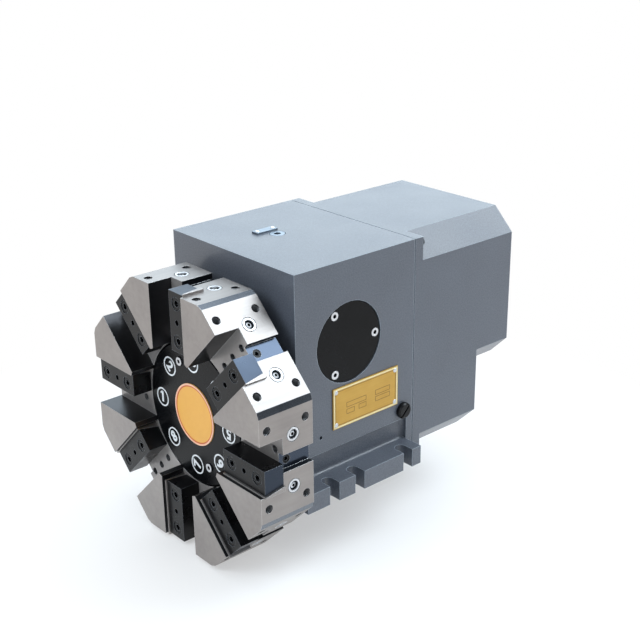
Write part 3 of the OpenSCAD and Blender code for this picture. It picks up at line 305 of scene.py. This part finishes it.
bpy.ops.mesh.primitive_plane_add(size=FLOOR_SIZE, location=(0, 0, cad_low.z - FLOOR_DROP))
floor = bpy.context.object
floor.name = "studio_floor"
paper = Finish("white_paper")
spread = paper.vector("LENGTH", paper.place((1, 1, 0)), output="Value")
fade = SHADOW_FADE + (1 - SHADOW_FADE) * spread.between(SHADOW_CORE, SHADOW_REACH)
glow = paper.add("ShaderNodeEmission", None, {"Color": WHITE, "Strength": 1.0})
sheet = Value(paper, paper.shader.outputs["BSDF"])
blend = paper.add("ShaderNodeMixShader", None, {0: looked_at(paper) * fade, 1: sheet, 2: glow})
paper.surface(base_color=FLOOR_TONE, roughness=0.95)
paper.feed(paper.tree.nodes["Material Output"].inputs["Surface"], blend)
floor.data.materials.append(paper.material)
print("floor at", round(floor.location.z, 4))

# %% [markdown]
# ## World
# The world carries the white paper on a little above the horizon, again for the eye and for mirrors only.
# Beyond that is a dim room under a pale ceiling. Metal shows mostly what it mirrors, so a bevel that
# looks at the far wall turns dark and one that looks up turns pale. One even colour would make all of
# them alike.

# %% World
FAR_WALL = (0.09, 0.095, 0.105, 1)
CEILING = (0.56, 0.62, 0.68, 1)
PAPER_ENDS = (0.09, 0.15)
WALL_ENDS = (0.25, 0.7)


class Sky(Finish):
    """The world's nodes, built with the same helpers as a finish."""

    def __init__(self, name):
        scene.world = bpy.data.worlds.new(name)
        scene.world.use_nodes = True
        self.tree = scene.world.node_tree


sky = Sky("studio_world")
upwards = sky.axis(sky.add("ShaderNodeTexCoord", output="Generated"), "Z")
room = sky.mix(upwards.between(*WALL_ENDS), FAR_WALL, CEILING)
sweep = looked_at(sky) * (1 - upwards.between(*PAPER_ENDS))
sky.feed(sky.tree.nodes["Background"].inputs["Color"], sky.mix(sweep, room, WHITE))
print("world nodes:", len(sky.tree.nodes))

# %% [markdown]
# ## Housing paint
# The casting and the motor cover wear a blue-grey machine enamel. Sprayed enamel dries with a fine orange
# peel, and over a casting it looks slightly speckled. One noise sets the speckle of the colour and
# another, broader one the peel of the bump. Real dents in the mesh would cost many faces and show no
# more.

# %% Housing paint
def housing_enamel():
    finish = Finish("housing_enamel")
    speckle = finish.noise(950, detail=3, roughness=0.7).between(0.38, 0.64)
    cloud = finish.cloud(22)
    peel = finish.noise(520)
    colour = finish.mix(speckle * 0.75 + cloud * 0.25, rgb(70, 75, 84), rgb(96, 101, 111))
    # Painted highlight: a pale blue-grey along the edges of the casting and the cover.
    colour = finish.mix(finish.edges(0.8 * MM) * 0.65, colour, rgb(196, 206, 216))
    normal = finish.bump(peel * 0.7 + speckle * 0.3, 0.07 * MM, finish.rounded(0.5 * MM))
    return finish.surface(base_color=colour, roughness=0.36 + 0.1 * cloud + 0.05 * speckle,
                          normal=normal, metallic=0.0, coat_weight=0.4, coat_roughness=0.2)


# %% [markdown]
# ## Ground steel
# Every face of the disc that looks forward and the eight flats are ground bare, with fine lines. The other
# faces are painted dark, as the shade in the pockets and the reflection of the black clamp bars. The milled
# ridges and key grooves are smoother and carry a painted bluish reflection, darker in the grooves, and the
# floors of the pockets are duller. Faces could be picked out one by one, but here each is known by its
# normal, and by how far its plane lies from the middle of the disc along that normal. So the finish still
# fits when the disc changes its size. The gib plates are ground all over.

# %% Ground steel
disc_low, disc_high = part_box("tool_disc")
spindle_height = (disc_low.z + disc_high.z) / 2
flat_distance = (disc_high.z - disc_low.z) / 2
front_distance = -disc_low.x
FORWARD_LIMIT = -0.9
FLAT_MARGIN = 2 * MM
GROOVE_MARGIN = 8 * MM
FRONT_MARGIN = 0.5 * MM
FLOOR_MARGIN = 15 * MM


def from_spindle(finish):
    """Object coordinates from the point on the spindle's axis above the middle of the base."""
    return finish.place(centre=(0, 0, spindle_height))


def faces_of(finish):
    """1 on faces that look forward, and how far each face's plane lies from the middle of the disc."""
    normal = finish.add("ShaderNodeTexCoord", output="Normal")
    forward = finish.axis(normal, "X").math("LESS_THAN", FORWARD_LIMIT)
    reach = finish.vector("DOT_PRODUCT", from_spindle(finish), normal, output="Value")
    return forward, reach


def ground_steel(name, whole, rounding):
    """Ground steel, either all over or only on the front faces, flats and ridges of the disc."""
    finish = Finish(name)
    lines = finish.noise(900, stretch=(0.05, 1, 1))
    streaks = finish.cloud(260, stretch=(0.08, 1, 1))
    cloud = finish.cloud(38)
    colour = finish.mix(cloud * 0.6 + streaks * 0.4, rgb(146, 141, 139), rgb(163, 158, 155))
    roughness = 0.27 + 0.07 * lines + 0.05 * cloud
    metallic = 0.95
    if not whole:
        forward, reach = faces_of(finish)
        ground = reach.math("GREATER_THAN", flat_distance - FLAT_MARGIN).math("MAXIMUM", forward)
        ridge = reach.within(flat_distance + FLAT_MARGIN, front_distance - FRONT_MARGIN)
        groove = reach.within(flat_distance - GROOVE_MARGIN, flat_distance - FLAT_MARGIN)
        pocket_floor = forward * reach.math("LESS_THAN", front_distance - FLOOR_MARGIN)
        # Painted shade and reflection: the faces that were not ground are dark, as the shade in the pockets
        # and the mirrored black clamp bars.
        painted_shade_and_reflection = finish.mix(cloud, rgb(58, 58, 60), rgb(74, 74, 77))
        colour = finish.mix(ground, painted_shade_and_reflection, colour)
        # Painted reflection: the ridges get a darker bluish grey, and the key grooves a dark bluish grey
        # for their reflection and shade.
        colour = finish.mix(ridge, colour, rgb(112, 118, 126))
        colour = finish.mix(groove, colour, rgb(66, 74, 87))
        roughness = roughness + 0.08 * (ground - forward) - 0.22 * ridge - 0.14 * groove
        metallic = metallic - 0.5 * pocket_floor
    # Painted highlight: near-white along the edges of the disc and the gib plates.
    colour = finish.mix(finish.edges(0.5 * MM) * 0.7, colour, rgb(226, 226, 226))
    normal = finish.bump(lines, 0.01 * MM, finish.rounded(rounding))
    return finish.surface(base_color=colour, metallic=metallic, roughness=roughness, normal=normal)


print("disc flats", round(flat_distance, 4), "m from the spindle, front at", round(disc_low.x, 4))

# %% [markdown]
# ## Blackened steel
# Clamp bars, screws, hub and side cover have a black oxide finish. A thin oxide film isn't a metal to the
# eye, so the shader is a plain dark one with little gloss, and a highlight is painted along the edges. The
# outer ends of the clamp bars were ground together with the flats and are bare again, and their dark
# bluish colour is a painted reflection. The hub and the side cover were faced on a lathe, and the rings
# that the tool left spread each highlight into a fan.

# %% Blackened steel
BAR_END_MARGIN = 12 * MM
RING_RATE = 9000


def black_oxide(name, dark, pale, gloss, edge_highlight=0.65, ground_ends=False):
    """Blackened steel with a painted edge highlight, and bare ends, with a painted bluish reflection, where
    they were ground with the disc.
    """
    finish = Finish(name)
    grain = finish.noise(1400)
    cloud = finish.cloud(60)
    colour = finish.mix(cloud, dark, pale)
    metallic = 0.0
    if ground_ends:
        forward, reach = faces_of(finish)
        metallic = reach.math("GREATER_THAN", flat_distance - BAR_END_MARGIN) * (1 - forward)
        # Painted reflection: the bare ground ends get a dark bluish grey, as if mirroring the sky.
        colour = finish.mix(metallic, colour, rgb(58, 65, 76))
    # Painted highlight: a pale grey along the edges, stronger on the screws.
    colour = finish.mix(finish.edges(0.45 * MM) * edge_highlight, colour, rgb(150, 154, 160))
    normal = finish.bump(grain, 0.012 * MM, finish.rounded(0.35 * MM))
    return finish.surface(base_color=colour, metallic=metallic, specular_ior_level=gloss,
                          roughness=0.24 + 0.12 * cloud, normal=normal)


def turned_black(name, centre, across):
    """Black steel faced on a lathe, with rings round the centre. across keeps the two axes of the face."""
    finish = Finish(name)
    spoke = finish.vector("LENGTH", finish.place(across, centre), output="Value")
    rings = (spoke * RING_RATE).math("SINE") * 0.5 + 0.5
    cloud = finish.cloud(45)
    colour = finish.mix(cloud, rgb(8, 9, 11), rgb(14, 15, 17))
    # Painted highlight: a light grey along the edges of the hub and the side cover.
    colour = finish.mix(finish.edges(0.5 * MM) * 0.6, colour, rgb(130, 132, 136))
    normal = finish.bump(rings, 0.0012 * MM, finish.rounded(0.4 * MM))
    return finish.surface(base_color=colour, metallic=0.0, specular_ior_level=0.15,
                          roughness=0.22 + 0.08 * cloud, normal=normal)


print("one turned ring in", round(2 * math.pi / RING_RATE / MM, 2), "mm")

# %% [markdown]
# ## Machined steel and zinc
# Plain machined steel has fine tool lines. Screws and coolant outlets are zinc plated and look almost
# white, so their small sockets would vanish in the glare. On the real ones hardly any light gets down
# there. The finish therefore takes a depth below the face and turns dark with it, which holds from every
# side.

# %% Machined steel and zinc
def machined_steel(name, dark, pale):
    finish = Finish(name)
    lines = finish.noise(700, stretch=(1, 0.2, 0.2))
    colour = finish.mix(finish.noise(45, detail=3), dark, pale)
    normal = finish.bump(lines, 0.02 * MM, finish.rounded(0.4 * MM))
    return finish.surface(base_color=colour, metallic=0.95, roughness=0.32 + 0.12 * lines, normal=normal)


def zinc_plate(name, depth_of=None, dark_from=0.3 * MM, dark_at=0.6 * MM):
    """Zinc plate. Where depth_of gives a depth below the face, the socket or recess down there is dark."""
    finish = Finish(name)
    cloud = finish.noise(160, detail=3)
    colour = finish.mix(cloud, rgb(206, 208, 212), rgb(226, 228, 231))
    # Painted highlight: near-white along the edges of the zinc parts.
    colour = finish.mix(finish.edges(0.3 * MM) * 0.5, colour, rgb(246, 246, 246))
    if depth_of:
        colour = finish.mix(depth_of(finish).between(dark_from, dark_at), colour, rgb(26, 29, 34))
    return finish.surface(base_color=colour, metallic=0.8, roughness=0.24 + 0.14 * cloud,
                          normal=finish.rounded(0.3 * MM))


def below_flat(finish):
    """Depth below the nearest of the eight flats."""
    sideways = finish.axis(finish.vector("ABSOLUTE", from_spindle(finish)), "Y")
    upright = sideways.sibling("Z")
    slanting = (sideways + upright) * math.sqrt(0.5)
    return flat_distance - sideways.math("MAXIMUM", upright).math("MAXIMUM", slanting)


def below_heads(node, letter):
    """Gives the function for the depth below screw heads that face the low side of an axis."""
    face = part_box(node)[0]["XYZ".index(letter)]
    return lambda finish: finish.axis(finish.place(), letter) - face


# %% [markdown]
# ## Small finishes
# Brass for the nameplate, printed colours for the hub badge, black rubber, glossy black plastic and the
# plain enamel of the motor under its cover. Each has a slow change of colour and gloss, because no real
# surface is even, and a bump so fine that it shows only in the highlights.

# %% Small finishes
def satin_brass():
    finish = Finish("satin_brass")
    brushed = finish.noise(900, stretch=(0.04, 1, 1))
    colour = finish.mix(finish.noise(70, detail=3), rgb(190, 148, 66), rgb(213, 173, 90))
    colour = finish.mix(brushed * 0.3, colour, rgb(170, 128, 48))
    return finish.surface(base_color=colour, metallic=0.55, roughness=0.36 + 0.12 * brushed,
                          normal=finish.bump(brushed, 0.01 * MM, finish.rounded(0.2 * MM)))


def printed(name, first, second, roughness=0.4):
    """A printed colour with a faint mottle."""
    finish = Finish(name)
    mottle = finish.noise(240, detail=4)
    return finish.surface(base_color=finish.mix(mottle, first, second), roughness=roughness + 0.12 * mottle,
                          normal=finish.bump(finish.noise(1600), 0.01 * MM))


def moulded_rubber():
    finish = Finish("moulded_rubber")
    grain = finish.noise(1100, detail=3)
    colour = finish.mix(grain, rgb(20, 20, 21), rgb(36, 36, 38))
    return finish.surface(base_color=colour, roughness=0.5 + 0.2 * grain,
                          normal=finish.bump(grain, 0.03 * MM, finish.rounded(0.4 * MM)))


def glossy_plastic():
    finish = Finish("glossy_plastic")
    flow = finish.noise(120, detail=3)
    colour = finish.mix(flow, rgb(11, 11, 12), rgb(20, 20, 22))
    return finish.surface(base_color=colour, roughness=0.14 + 0.08 * flow, specular_ior_level=0.22,
                          normal=finish.bump(flow, 0.02 * MM, finish.rounded(0.5 * MM)))


def motor_enamel():
    finish = Finish("motor_enamel")
    cloud = finish.noise(30, detail=3)
    colour = finish.mix(cloud, rgb(92, 102, 114), rgb(110, 120, 132))
    return finish.surface(base_color=colour, roughness=0.42 + 0.1 * cloud,
                          normal=finish.bump(finish.noise(600), 0.08 * MM, finish.rounded(0.5 * MM)))


# %% [markdown]
# ## Dressing the CAD nodes
# The CAD solids have the right shape already, so they keep it and only get their finish. A table of
# finishes and the nodes that wear them is easier to check than one line for each node.

# %% Give every node its finish
STATIONS = range(1, 9)


def centre_of(node):
    low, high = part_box(node)
    return (low + high) / 2


clamp_bars = [f"clamp_bar_{k}" for k in STATIONS]
clamp_screws = [f"clamp_screws_{k}" for k in STATIONS]
satin_black = black_oxide("satin_black", rgb(8, 8, 9), rgb(15, 15, 17), gloss=0.26, ground_ends=True)
screw_black = black_oxide("screw_black", rgb(5, 5, 6), rgb(10, 10, 11), gloss=0.2, edge_highlight=0.9)
machined = machined_steel("machined_steel", rgb(140, 142, 146), rgb(172, 173, 176))
bluish = machined_steel("bluish_steel", rgb(126, 138, 150), rgb(150, 162, 174))
FINISHES = [
    (housing_enamel(), ["housing", "rear_cover"]),
    (ground_steel("disc_steel", whole=False, rounding=0.35 * MM), ["tool_disc"]),
    (ground_steel("gib_steel", whole=True, rounding=0.8 * MM), ["gib_plates"]),
    (satin_black, clamp_bars + ["spindle_nut"]),
    (screw_black, clamp_screws + ["rear_cover_screws", "fixed_ring_screws", "sleeve_screws", "motor_screws",
                                  "encoder_screws", "disc_screws", "groove_screws"]),
    (turned_black("turned_hub", centre_of("hub_cover"), across=(0, 1, 1)), ["hub_cover"]),
    (turned_black("turned_side_cover", centre_of("side_cover"), across=(1, 0, 1)), ["side_cover"]),
    (machined, ["fixed_tooth_ring", "disc_tooth_ring", "lock_ring", "bearing_sleeve", "spindle", "cam_gear",
                "motor_pinion", "encoder_bracket"]),
    (bluish, ["filler_plug", "direction_plate"]),
    (zinc_plate("zinc_plate"), ["plate_rivets", "bearing_outer_rings", "bearing_inner_rings",
                                "bearing_balls", "guide_pins", "cam_rollers", "encoder_coupling"]),
    (zinc_plate("outlet_plate", below_flat, 1.1 * MM, 1.6 * MM), ["coolant_plugs"]),
    (zinc_plate("hub_screw_plate", below_heads("hub_cover_screws", "X")), ["hub_cover_screws"]),
    (zinc_plate("side_screw_plate", below_heads("side_cover_screws", "Y")), ["side_cover_screws"]),
    (satin_brass(), ["nameplate"]),
    (printed("badge_amber", rgb(232, 166, 64), rgb(238, 178, 78), roughness=0.3), ["hub_badge"]),
    (glossy_plastic(), ["blanking_plug", "encoder_body"]),
    (moulded_rubber(), ["front_seal", "side_cover_gasket"]),
    (motor_enamel(), ["motor_body"]),
]
dressed = set()
for material, names in FINISHES:
    for name in names:
        for material_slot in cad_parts[name].material_slots:
            material_slot.material = material
        dressed.add(name)
print("dressed", len(dressed), "of", len(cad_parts), "nodes:", sorted(set(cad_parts) - dressed))

# %% [markdown]
# ## Working on the face of the hub
# The numbers, rings and badge lie on the front of the hub. It is easiest to draw them flat on the XY
# plane, as on paper, and then to carry the sheet to the hub with one matrix: paper right is -Y, paper up
# is +Z.

# %% Paper frame of the hub
hub_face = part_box("hub_cover")[0].x
badge_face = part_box("hub_badge")[0].x
PAPER = Matrix(((0, 0, -1), (-1, 0, 0), (0, 1, 0)))


def on_hub(face_x):
    """Carries a drawing from the XY plane to the spindle axis at face_x, facing the front."""
    return Matrix.Translation((face_x, 0, spindle_height)) @ PAPER.to_4x4()


def settle(piece, name, body, material, place=None):
    """Names a finished piece, puts its place into its mesh, and hands it to its body."""
    if place is not None:
        piece.matrix_world = place @ piece.matrix_world
    bpy.ops.object.select_all(action="DESELECT")
    piece.select_set(True)
    bpy.context.view_layer.objects.active = piece
    bpy.ops.object.transform_apply(location=True, rotation=True, scale=True)
    piece.name = name
    piece.data.name = name
    piece.data.materials.clear()
    piece.data.materials.append(material)
    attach(piece, body)
    bpy.ops.object.select_all(action="DESELECT")


print("hub face at", round(hub_face, 4), "badge face at", round(badge_face, 4))

# %% [markdown]
# ## Raised print
# Rings, frames and strokes all start as one flat face. An inset draws the inner outline, the middle is
# deleted, and an extrusion gives the rest its height. A Bevel modifier then breaks the edges of the
# thicker ones.

# %% Raised print helpers
BREAK_SEGMENTS = 2


def raise_face(thickness):
    """Gives the flat face that is in edit mode its thickness, and leaves edit mode."""
    bpy.ops.mesh.select_all(action="SELECT")
    bpy.ops.mesh.extrude_region_move(TRANSFORM_OT_translate={"value": (0, 0, thickness)})
    bpy.ops.mesh.select_all(action="SELECT")
    bpy.ops.mesh.normals_make_consistent(inside=False)
    bpy.ops.object.mode_set(mode="OBJECT")


def raise_outline(line_width, thickness):
    """Makes the flat face that was added last a raised line along its own outline."""
    bpy.ops.object.mode_set(mode="EDIT")
    bpy.ops.mesh.select_mode(type="FACE")
    bpy.ops.mesh.select_all(action="SELECT")
    bpy.ops.mesh.inset(thickness=line_width)
    bpy.ops.mesh.delete(type="FACE")
    raise_face(thickness)


def flat_ring(outer, line_width, thickness, sides):
    """A flat ring on the XY plane."""
    bpy.ops.object.select_all(action="DESELECT")
    bpy.ops.mesh.primitive_circle_add(vertices=sides, radius=outer, fill_type="NGON")
    piece = bpy.context.object
    raise_outline(line_width, thickness)
    return piece


def flat_bar(middle, length, width, turn=0):
    """A flat rectangle, turned about its middle."""
    bpy.ops.object.select_all(action="DESELECT")
    bpy.ops.mesh.primitive_plane_add(size=1, location=middle, rotation=(0, 0, turn))
    piece = bpy.context.object
    piece.scale = (length, width, 1)
    bpy.ops.object.transform_apply(location=True, rotation=True, scale=True)
    return piece


def soften(piece, width):
    """Breaks the sharp edges of a piece with a Bevel modifier."""
    bpy.context.view_layer.objects.active = piece
    bevel = piece.modifiers.new("broken_edges", "BEVEL")
    bevel.width = width
    bevel.segments = BREAK_SEGMENTS
    bevel.limit_method = "ANGLE"
    bpy.ops.object.modifier_apply(modifier=bevel.name)


# %% [markdown]
# ## Station numbers
# Each station has its number in a printed ring. The numbers stand upright when their station is at the
# working place on the left, so each is turned by the angle of its pocket. Blender's own font gives the
# digits, and text is made a mesh before it is carried away. That font draws 1 as a bare bar, so it gets a
# flag of its own.

# %% Digits
PRINT_HEIGHT = 0.12 * MM
DIGIT_SIZE = 12.5 * MM
DIGIT_SWELL = 0.5 * MM
DIGIT_CURVE_STEPS = 4
FLAG_LENGTH = 3.4 * MM
FLAG_WIDTH = 1.3 * MM
FLAG_SLANT = math.radians(42)
FLAG_LEFT = 0.5 * MM
FLAG_DROP = 1.4 * MM


def add_flag(digit):
    """Joins a slanting stroke to the top of the 1."""
    top = max(vertex.co.y for vertex in digit.data.vertices)
    left = min(vertex.co.x for vertex in digit.data.vertices)
    middle = (left - FLAG_LEFT, top - FLAG_DROP, -PRINT_HEIGHT / 2)
    flat_bar(middle, FLAG_LENGTH, FLAG_WIDTH, FLAG_SLANT)
    bpy.ops.object.mode_set(mode="EDIT")
    raise_face(PRINT_HEIGHT)
    digit.select_set(True)
    bpy.context.view_layer.objects.active = digit
    bpy.ops.object.join()


def printed_digit(k):
    """A digit that stands on the XY plane, as high as the print."""
    bpy.ops.object.text_add()
    text = bpy.context.object
    text.data.body = str(k)
    text.data.size = DIGIT_SIZE
    text.data.align_x = "CENTER"
    text.data.align_y = "CENTER"
    text.data.extrude = PRINT_HEIGHT / 2
    text.data.offset = DIGIT_SWELL
    text.data.resolution_u = DIGIT_CURVE_STEPS
    bpy.ops.object.convert(target="MESH")
    digit = bpy.context.object
    if k == 1:
        add_flag(digit)
    digit.location.z = PRINT_HEIGHT / 2
    bpy.context.view_layer.update()
    return digit


# %% Rings and numbers
RING_PLACE = 44 * MM
RING_OUTER = 8.1 * MM
RING_LINE = 1.25 * MM
RING_SIDES = 48
white_print = printed("white_print", rgb(224, 226, 228), rgb(236, 237, 238), roughness=0.45)


def station_angle(k):
    """The angle of a pocket seen from the front: station 1 is on the left, and they follow clockwise."""
    return math.radians(180 - 45 * (k - 1))


def on_station(k):
    """Carries a drawing to a station's place on the hub, with its left side outwards."""
    turn = station_angle(k)
    centre = Matrix.Translation((RING_PLACE * math.cos(turn), RING_PLACE * math.sin(turn), 0))
    return on_hub(hub_face) @ centre @ Matrix.Rotation(turn - math.pi, 4, "Z")


for k in STATIONS:
    ring = flat_ring(RING_OUTER, RING_LINE, PRINT_HEIGHT, RING_SIDES)
    settle(ring, f"station_ring_{k}", "turret", white_print, on_station(k))
    settle(printed_digit(k), f"station_number_{k}", "turret", white_print, on_station(k))
print("station numbers:", len(STATIONS))

# %% [markdown]
# ## Hub badge
# The badge is a printed disc: an amber field, a red line round it and a pale raised rim. The line and the
# rim could be rings of colour in one material, but as a real bead the rim catches the light from above.

# %% Hub badge
badge_low, badge_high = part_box("hub_badge")
badge_radius = (badge_high.y - badge_low.y) / 2
RIM_WIDTH = 1.4 * MM
RIM_HEIGHT = 0.35 * MM
RIM_BREAK = 0.15 * MM
LINE_WIDTH = 1.1 * MM
BADGE_SIDES = 96
red_print = printed("badge_red", rgb(200, 92, 36), rgb(210, 104, 46))
pale_print = printed("badge_rim", rgb(245, 188, 156), rgb(248, 198, 170))
line = flat_ring(badge_radius - RIM_WIDTH, LINE_WIDTH, PRINT_HEIGHT, BADGE_SIDES)
settle(line, "badge_line", "turret", red_print, on_hub(badge_face))
rim = flat_ring(badge_radius, RIM_WIDTH, RIM_HEIGHT, BADGE_SIDES)
soften(rim, RIM_BREAK)
settle(rim, "badge_rim", "turret", pale_print, on_hub(badge_face))
print("badge radius", round(badge_radius, 5))

# %% [markdown]
# ## Nameplate
# A brass plate has a light raised border and a few empty fields for figures. They are drawn on the XY
# plane like the print on the hub, with the plate's lower left corner at the origin, and another matrix
# carries the sheet to the side of the housing.

# %% Nameplate border and fields
plate_low, plate_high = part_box("nameplate")
plate_width = plate_high.x - plate_low.x
plate_height = plate_high.z - plate_low.z
SIDE_PAPER = Matrix(((1, 0, 0), (0, 0, -1), (0, 1, 0))).to_4x4()
on_plate = Matrix.Translation((plate_low.x, plate_low.y, plate_low.z)) @ SIDE_PAPER
BORDER_INSET = 0.5 * MM
BORDER_LINE = 1.3 * MM
BORDER_HEIGHT = 0.25 * MM
BORDER_BREAK = 0.08 * MM
INNER_INSET = 2.6 * MM
FIELD_LINE = 0.35 * MM
FIELD_HEIGHT = 0.08 * MM
# Left, bottom, width and height of each field.
FIELDS_MM = {
    "upper_left": (14, 15.4, 21, 4.2),
    "upper_right": (45, 16.2, 16, 4.2),
    "lower_left": (14, 9.6, 8.5, 4.2),
    "lower_middle": (27, 9.9, 8, 4.2),
    "lower_right": (45, 10.6, 16, 4.2),
}
pale_brass = printed("pale_brass_print", rgb(226, 206, 150), rgb(238, 222, 172), roughness=0.35)
dark_print = printed("dark_plate_print", rgb(104, 74, 24), rgb(122, 90, 34), roughness=0.45)


def field(left, bottom, width, height, line_width, thickness):
    """An empty rectangular frame on the XY plane."""
    piece = flat_bar((left + width / 2, bottom + height / 2, 0), width, height)
    raise_outline(line_width, thickness)
    return piece


def plate_frame(inset, line_width, thickness):
    """A frame that runs along the edge of the plate."""
    return field(inset, inset, plate_width - 2 * inset, plate_height - 2 * inset, line_width, thickness)


border = plate_frame(BORDER_INSET, BORDER_LINE, BORDER_HEIGHT)
soften(border, BORDER_BREAK)
settle(border, "nameplate_border", "base", pale_brass, on_plate)
for name, sizes in FIELDS_MM.items():
    left, bottom, width, height = (size * MM for size in sizes)
    piece = field(left, bottom, width, height, FIELD_LINE, FIELD_HEIGHT)
    settle(piece, f"nameplate_field_{name}", "base", dark_print, on_plate)
inner = plate_frame(INNER_INSET, FIELD_LINE, FIELD_HEIGHT)
settle(inner, "nameplate_inner_line", "base", dark_print, on_plate)
print("nameplate", round(plate_width, 4), "x", round(plate_height, 4))

# %% [markdown]
# ## Threads
# The holder holes in the flats and the holes in the pocket floors are tapped. A thread is one small
# triangle that the Screw modifier winds round the hole. It is wound once for each size, and every hole
# gets a copy.

# %% Thread helpers
THREAD_STEPS = 18
THREAD_FLANK = 0.42
THREAD_ROOT = 0.05 * MM
MERGE_DISTANCE = 0.01 * MM


def wound_thread(radius, depth, pitch, length):
    """A helical ridge inside a hole along Z, from z = 0 down, with its root in the hole's wall."""
    bpy.ops.object.select_all(action="DESELECT")
    bpy.ops.mesh.primitive_circle_add(vertices=3, radius=pitch, fill_type="NOTHING")
    piece = bpy.context.object
    root = radius + THREAD_ROOT
    flank = pitch * THREAD_FLANK
    corners = [(root, flank), (radius - depth, 0), (root, -flank)]
    for vertex, (x, z) in zip(piece.data.vertices, corners):
        vertex.co = (x, 0, z - length)
    wind = piece.modifiers.new("thread", "SCREW")
    wind.screw_offset = pitch
    wind.iterations = int(length / pitch)
    wind.steps = THREAD_STEPS
    wind.render_steps = THREAD_STEPS
    wind.use_merge_vertices = True
    bpy.context.view_layer.objects.active = piece
    bpy.ops.object.modifier_apply(modifier=wind.name)
    bpy.ops.object.mode_set(mode="EDIT")
    bpy.ops.mesh.select_all(action="SELECT")
    bpy.ops.mesh.remove_doubles(threshold=MERGE_DISTANCE)
    bpy.ops.mesh.normals_make_consistent(inside=False)
    bpy.ops.object.mode_set(mode="OBJECT")
    return piece


def settle_copies(first, places, name, body, material):
    """Copies a piece to each place, joins the copies into one mesh and settles it."""
    made = []
    for place in places:
        twin = first.copy()
        twin.data = first.data.copy()
        scene.collection.objects.link(twin)
        twin.matrix_world = place
        made.append(twin)
    bpy.data.objects.remove(first)
    bpy.ops.object.select_all(action="DESELECT")
    for twin in made:
        twin.select_set(True)
    bpy.context.view_layer.objects.active = made[0]
    bpy.context.view_layer.update()
    bpy.ops.object.transform_apply(location=True, rotation=True, scale=True)
    bpy.ops.object.join()
    settle(bpy.context.object, name, body, material)


# %% Threads in the flats and the pocket floors
HOLDER_EDGE = 7 * MM
HOLDER_PITCH = 35.4 * MM
HOLDER_SPAN = 62.6 * MM
HOLDER_THREAD = {"radius": 3.4 * MM, "depth": 0.45 * MM, "pitch": 1.25 * MM, "length": 11 * MM}
POCKET_DEPTH = 21 * MM
POCKET_HOLE_REACHES = (69.1 * MM, 84.2 * MM, 99.3 * MM)
POCKET_HOLE_OFFSET = 8.8 * MM
POCKET_THREAD = {"radius": 3.1 * MM, "depth": 0.4 * MM, "pitch": 1.0 * MM, "length": 9 * MM}


def in_station(k, radial, sideways, depth):
    """A point's frame in a station: X outwards, Y across, Z to the front, depth from the disc's front."""
    return (on_hub(disc_low.x) @ Matrix.Rotation(station_angle(k), 4, "Z")
            @ Matrix.Translation((radial, sideways, -depth)))


outwards = Matrix.Rotation(math.radians(90), 4, "Y")
holder_places = [
    in_station(k, flat_distance, side * HOLDER_SPAN / 2, HOLDER_EDGE + step * HOLDER_PITCH) @ outwards
    for k in STATIONS for side in (-1, 1) for step in (0, 1)
]
pocket_places = [
    in_station(k, radial, POCKET_HOLE_OFFSET, POCKET_DEPTH)
    for k in STATIONS for radial in POCKET_HOLE_REACHES
]
settle_copies(wound_thread(**HOLDER_THREAD), holder_places,
              "holder_threads", "turret", machined)
settle_copies(wound_thread(**POCKET_THREAD), pocket_places,
              "pocket_threads", "turret", machined)
print("threaded holes:", len(holder_places) + len(pocket_places))
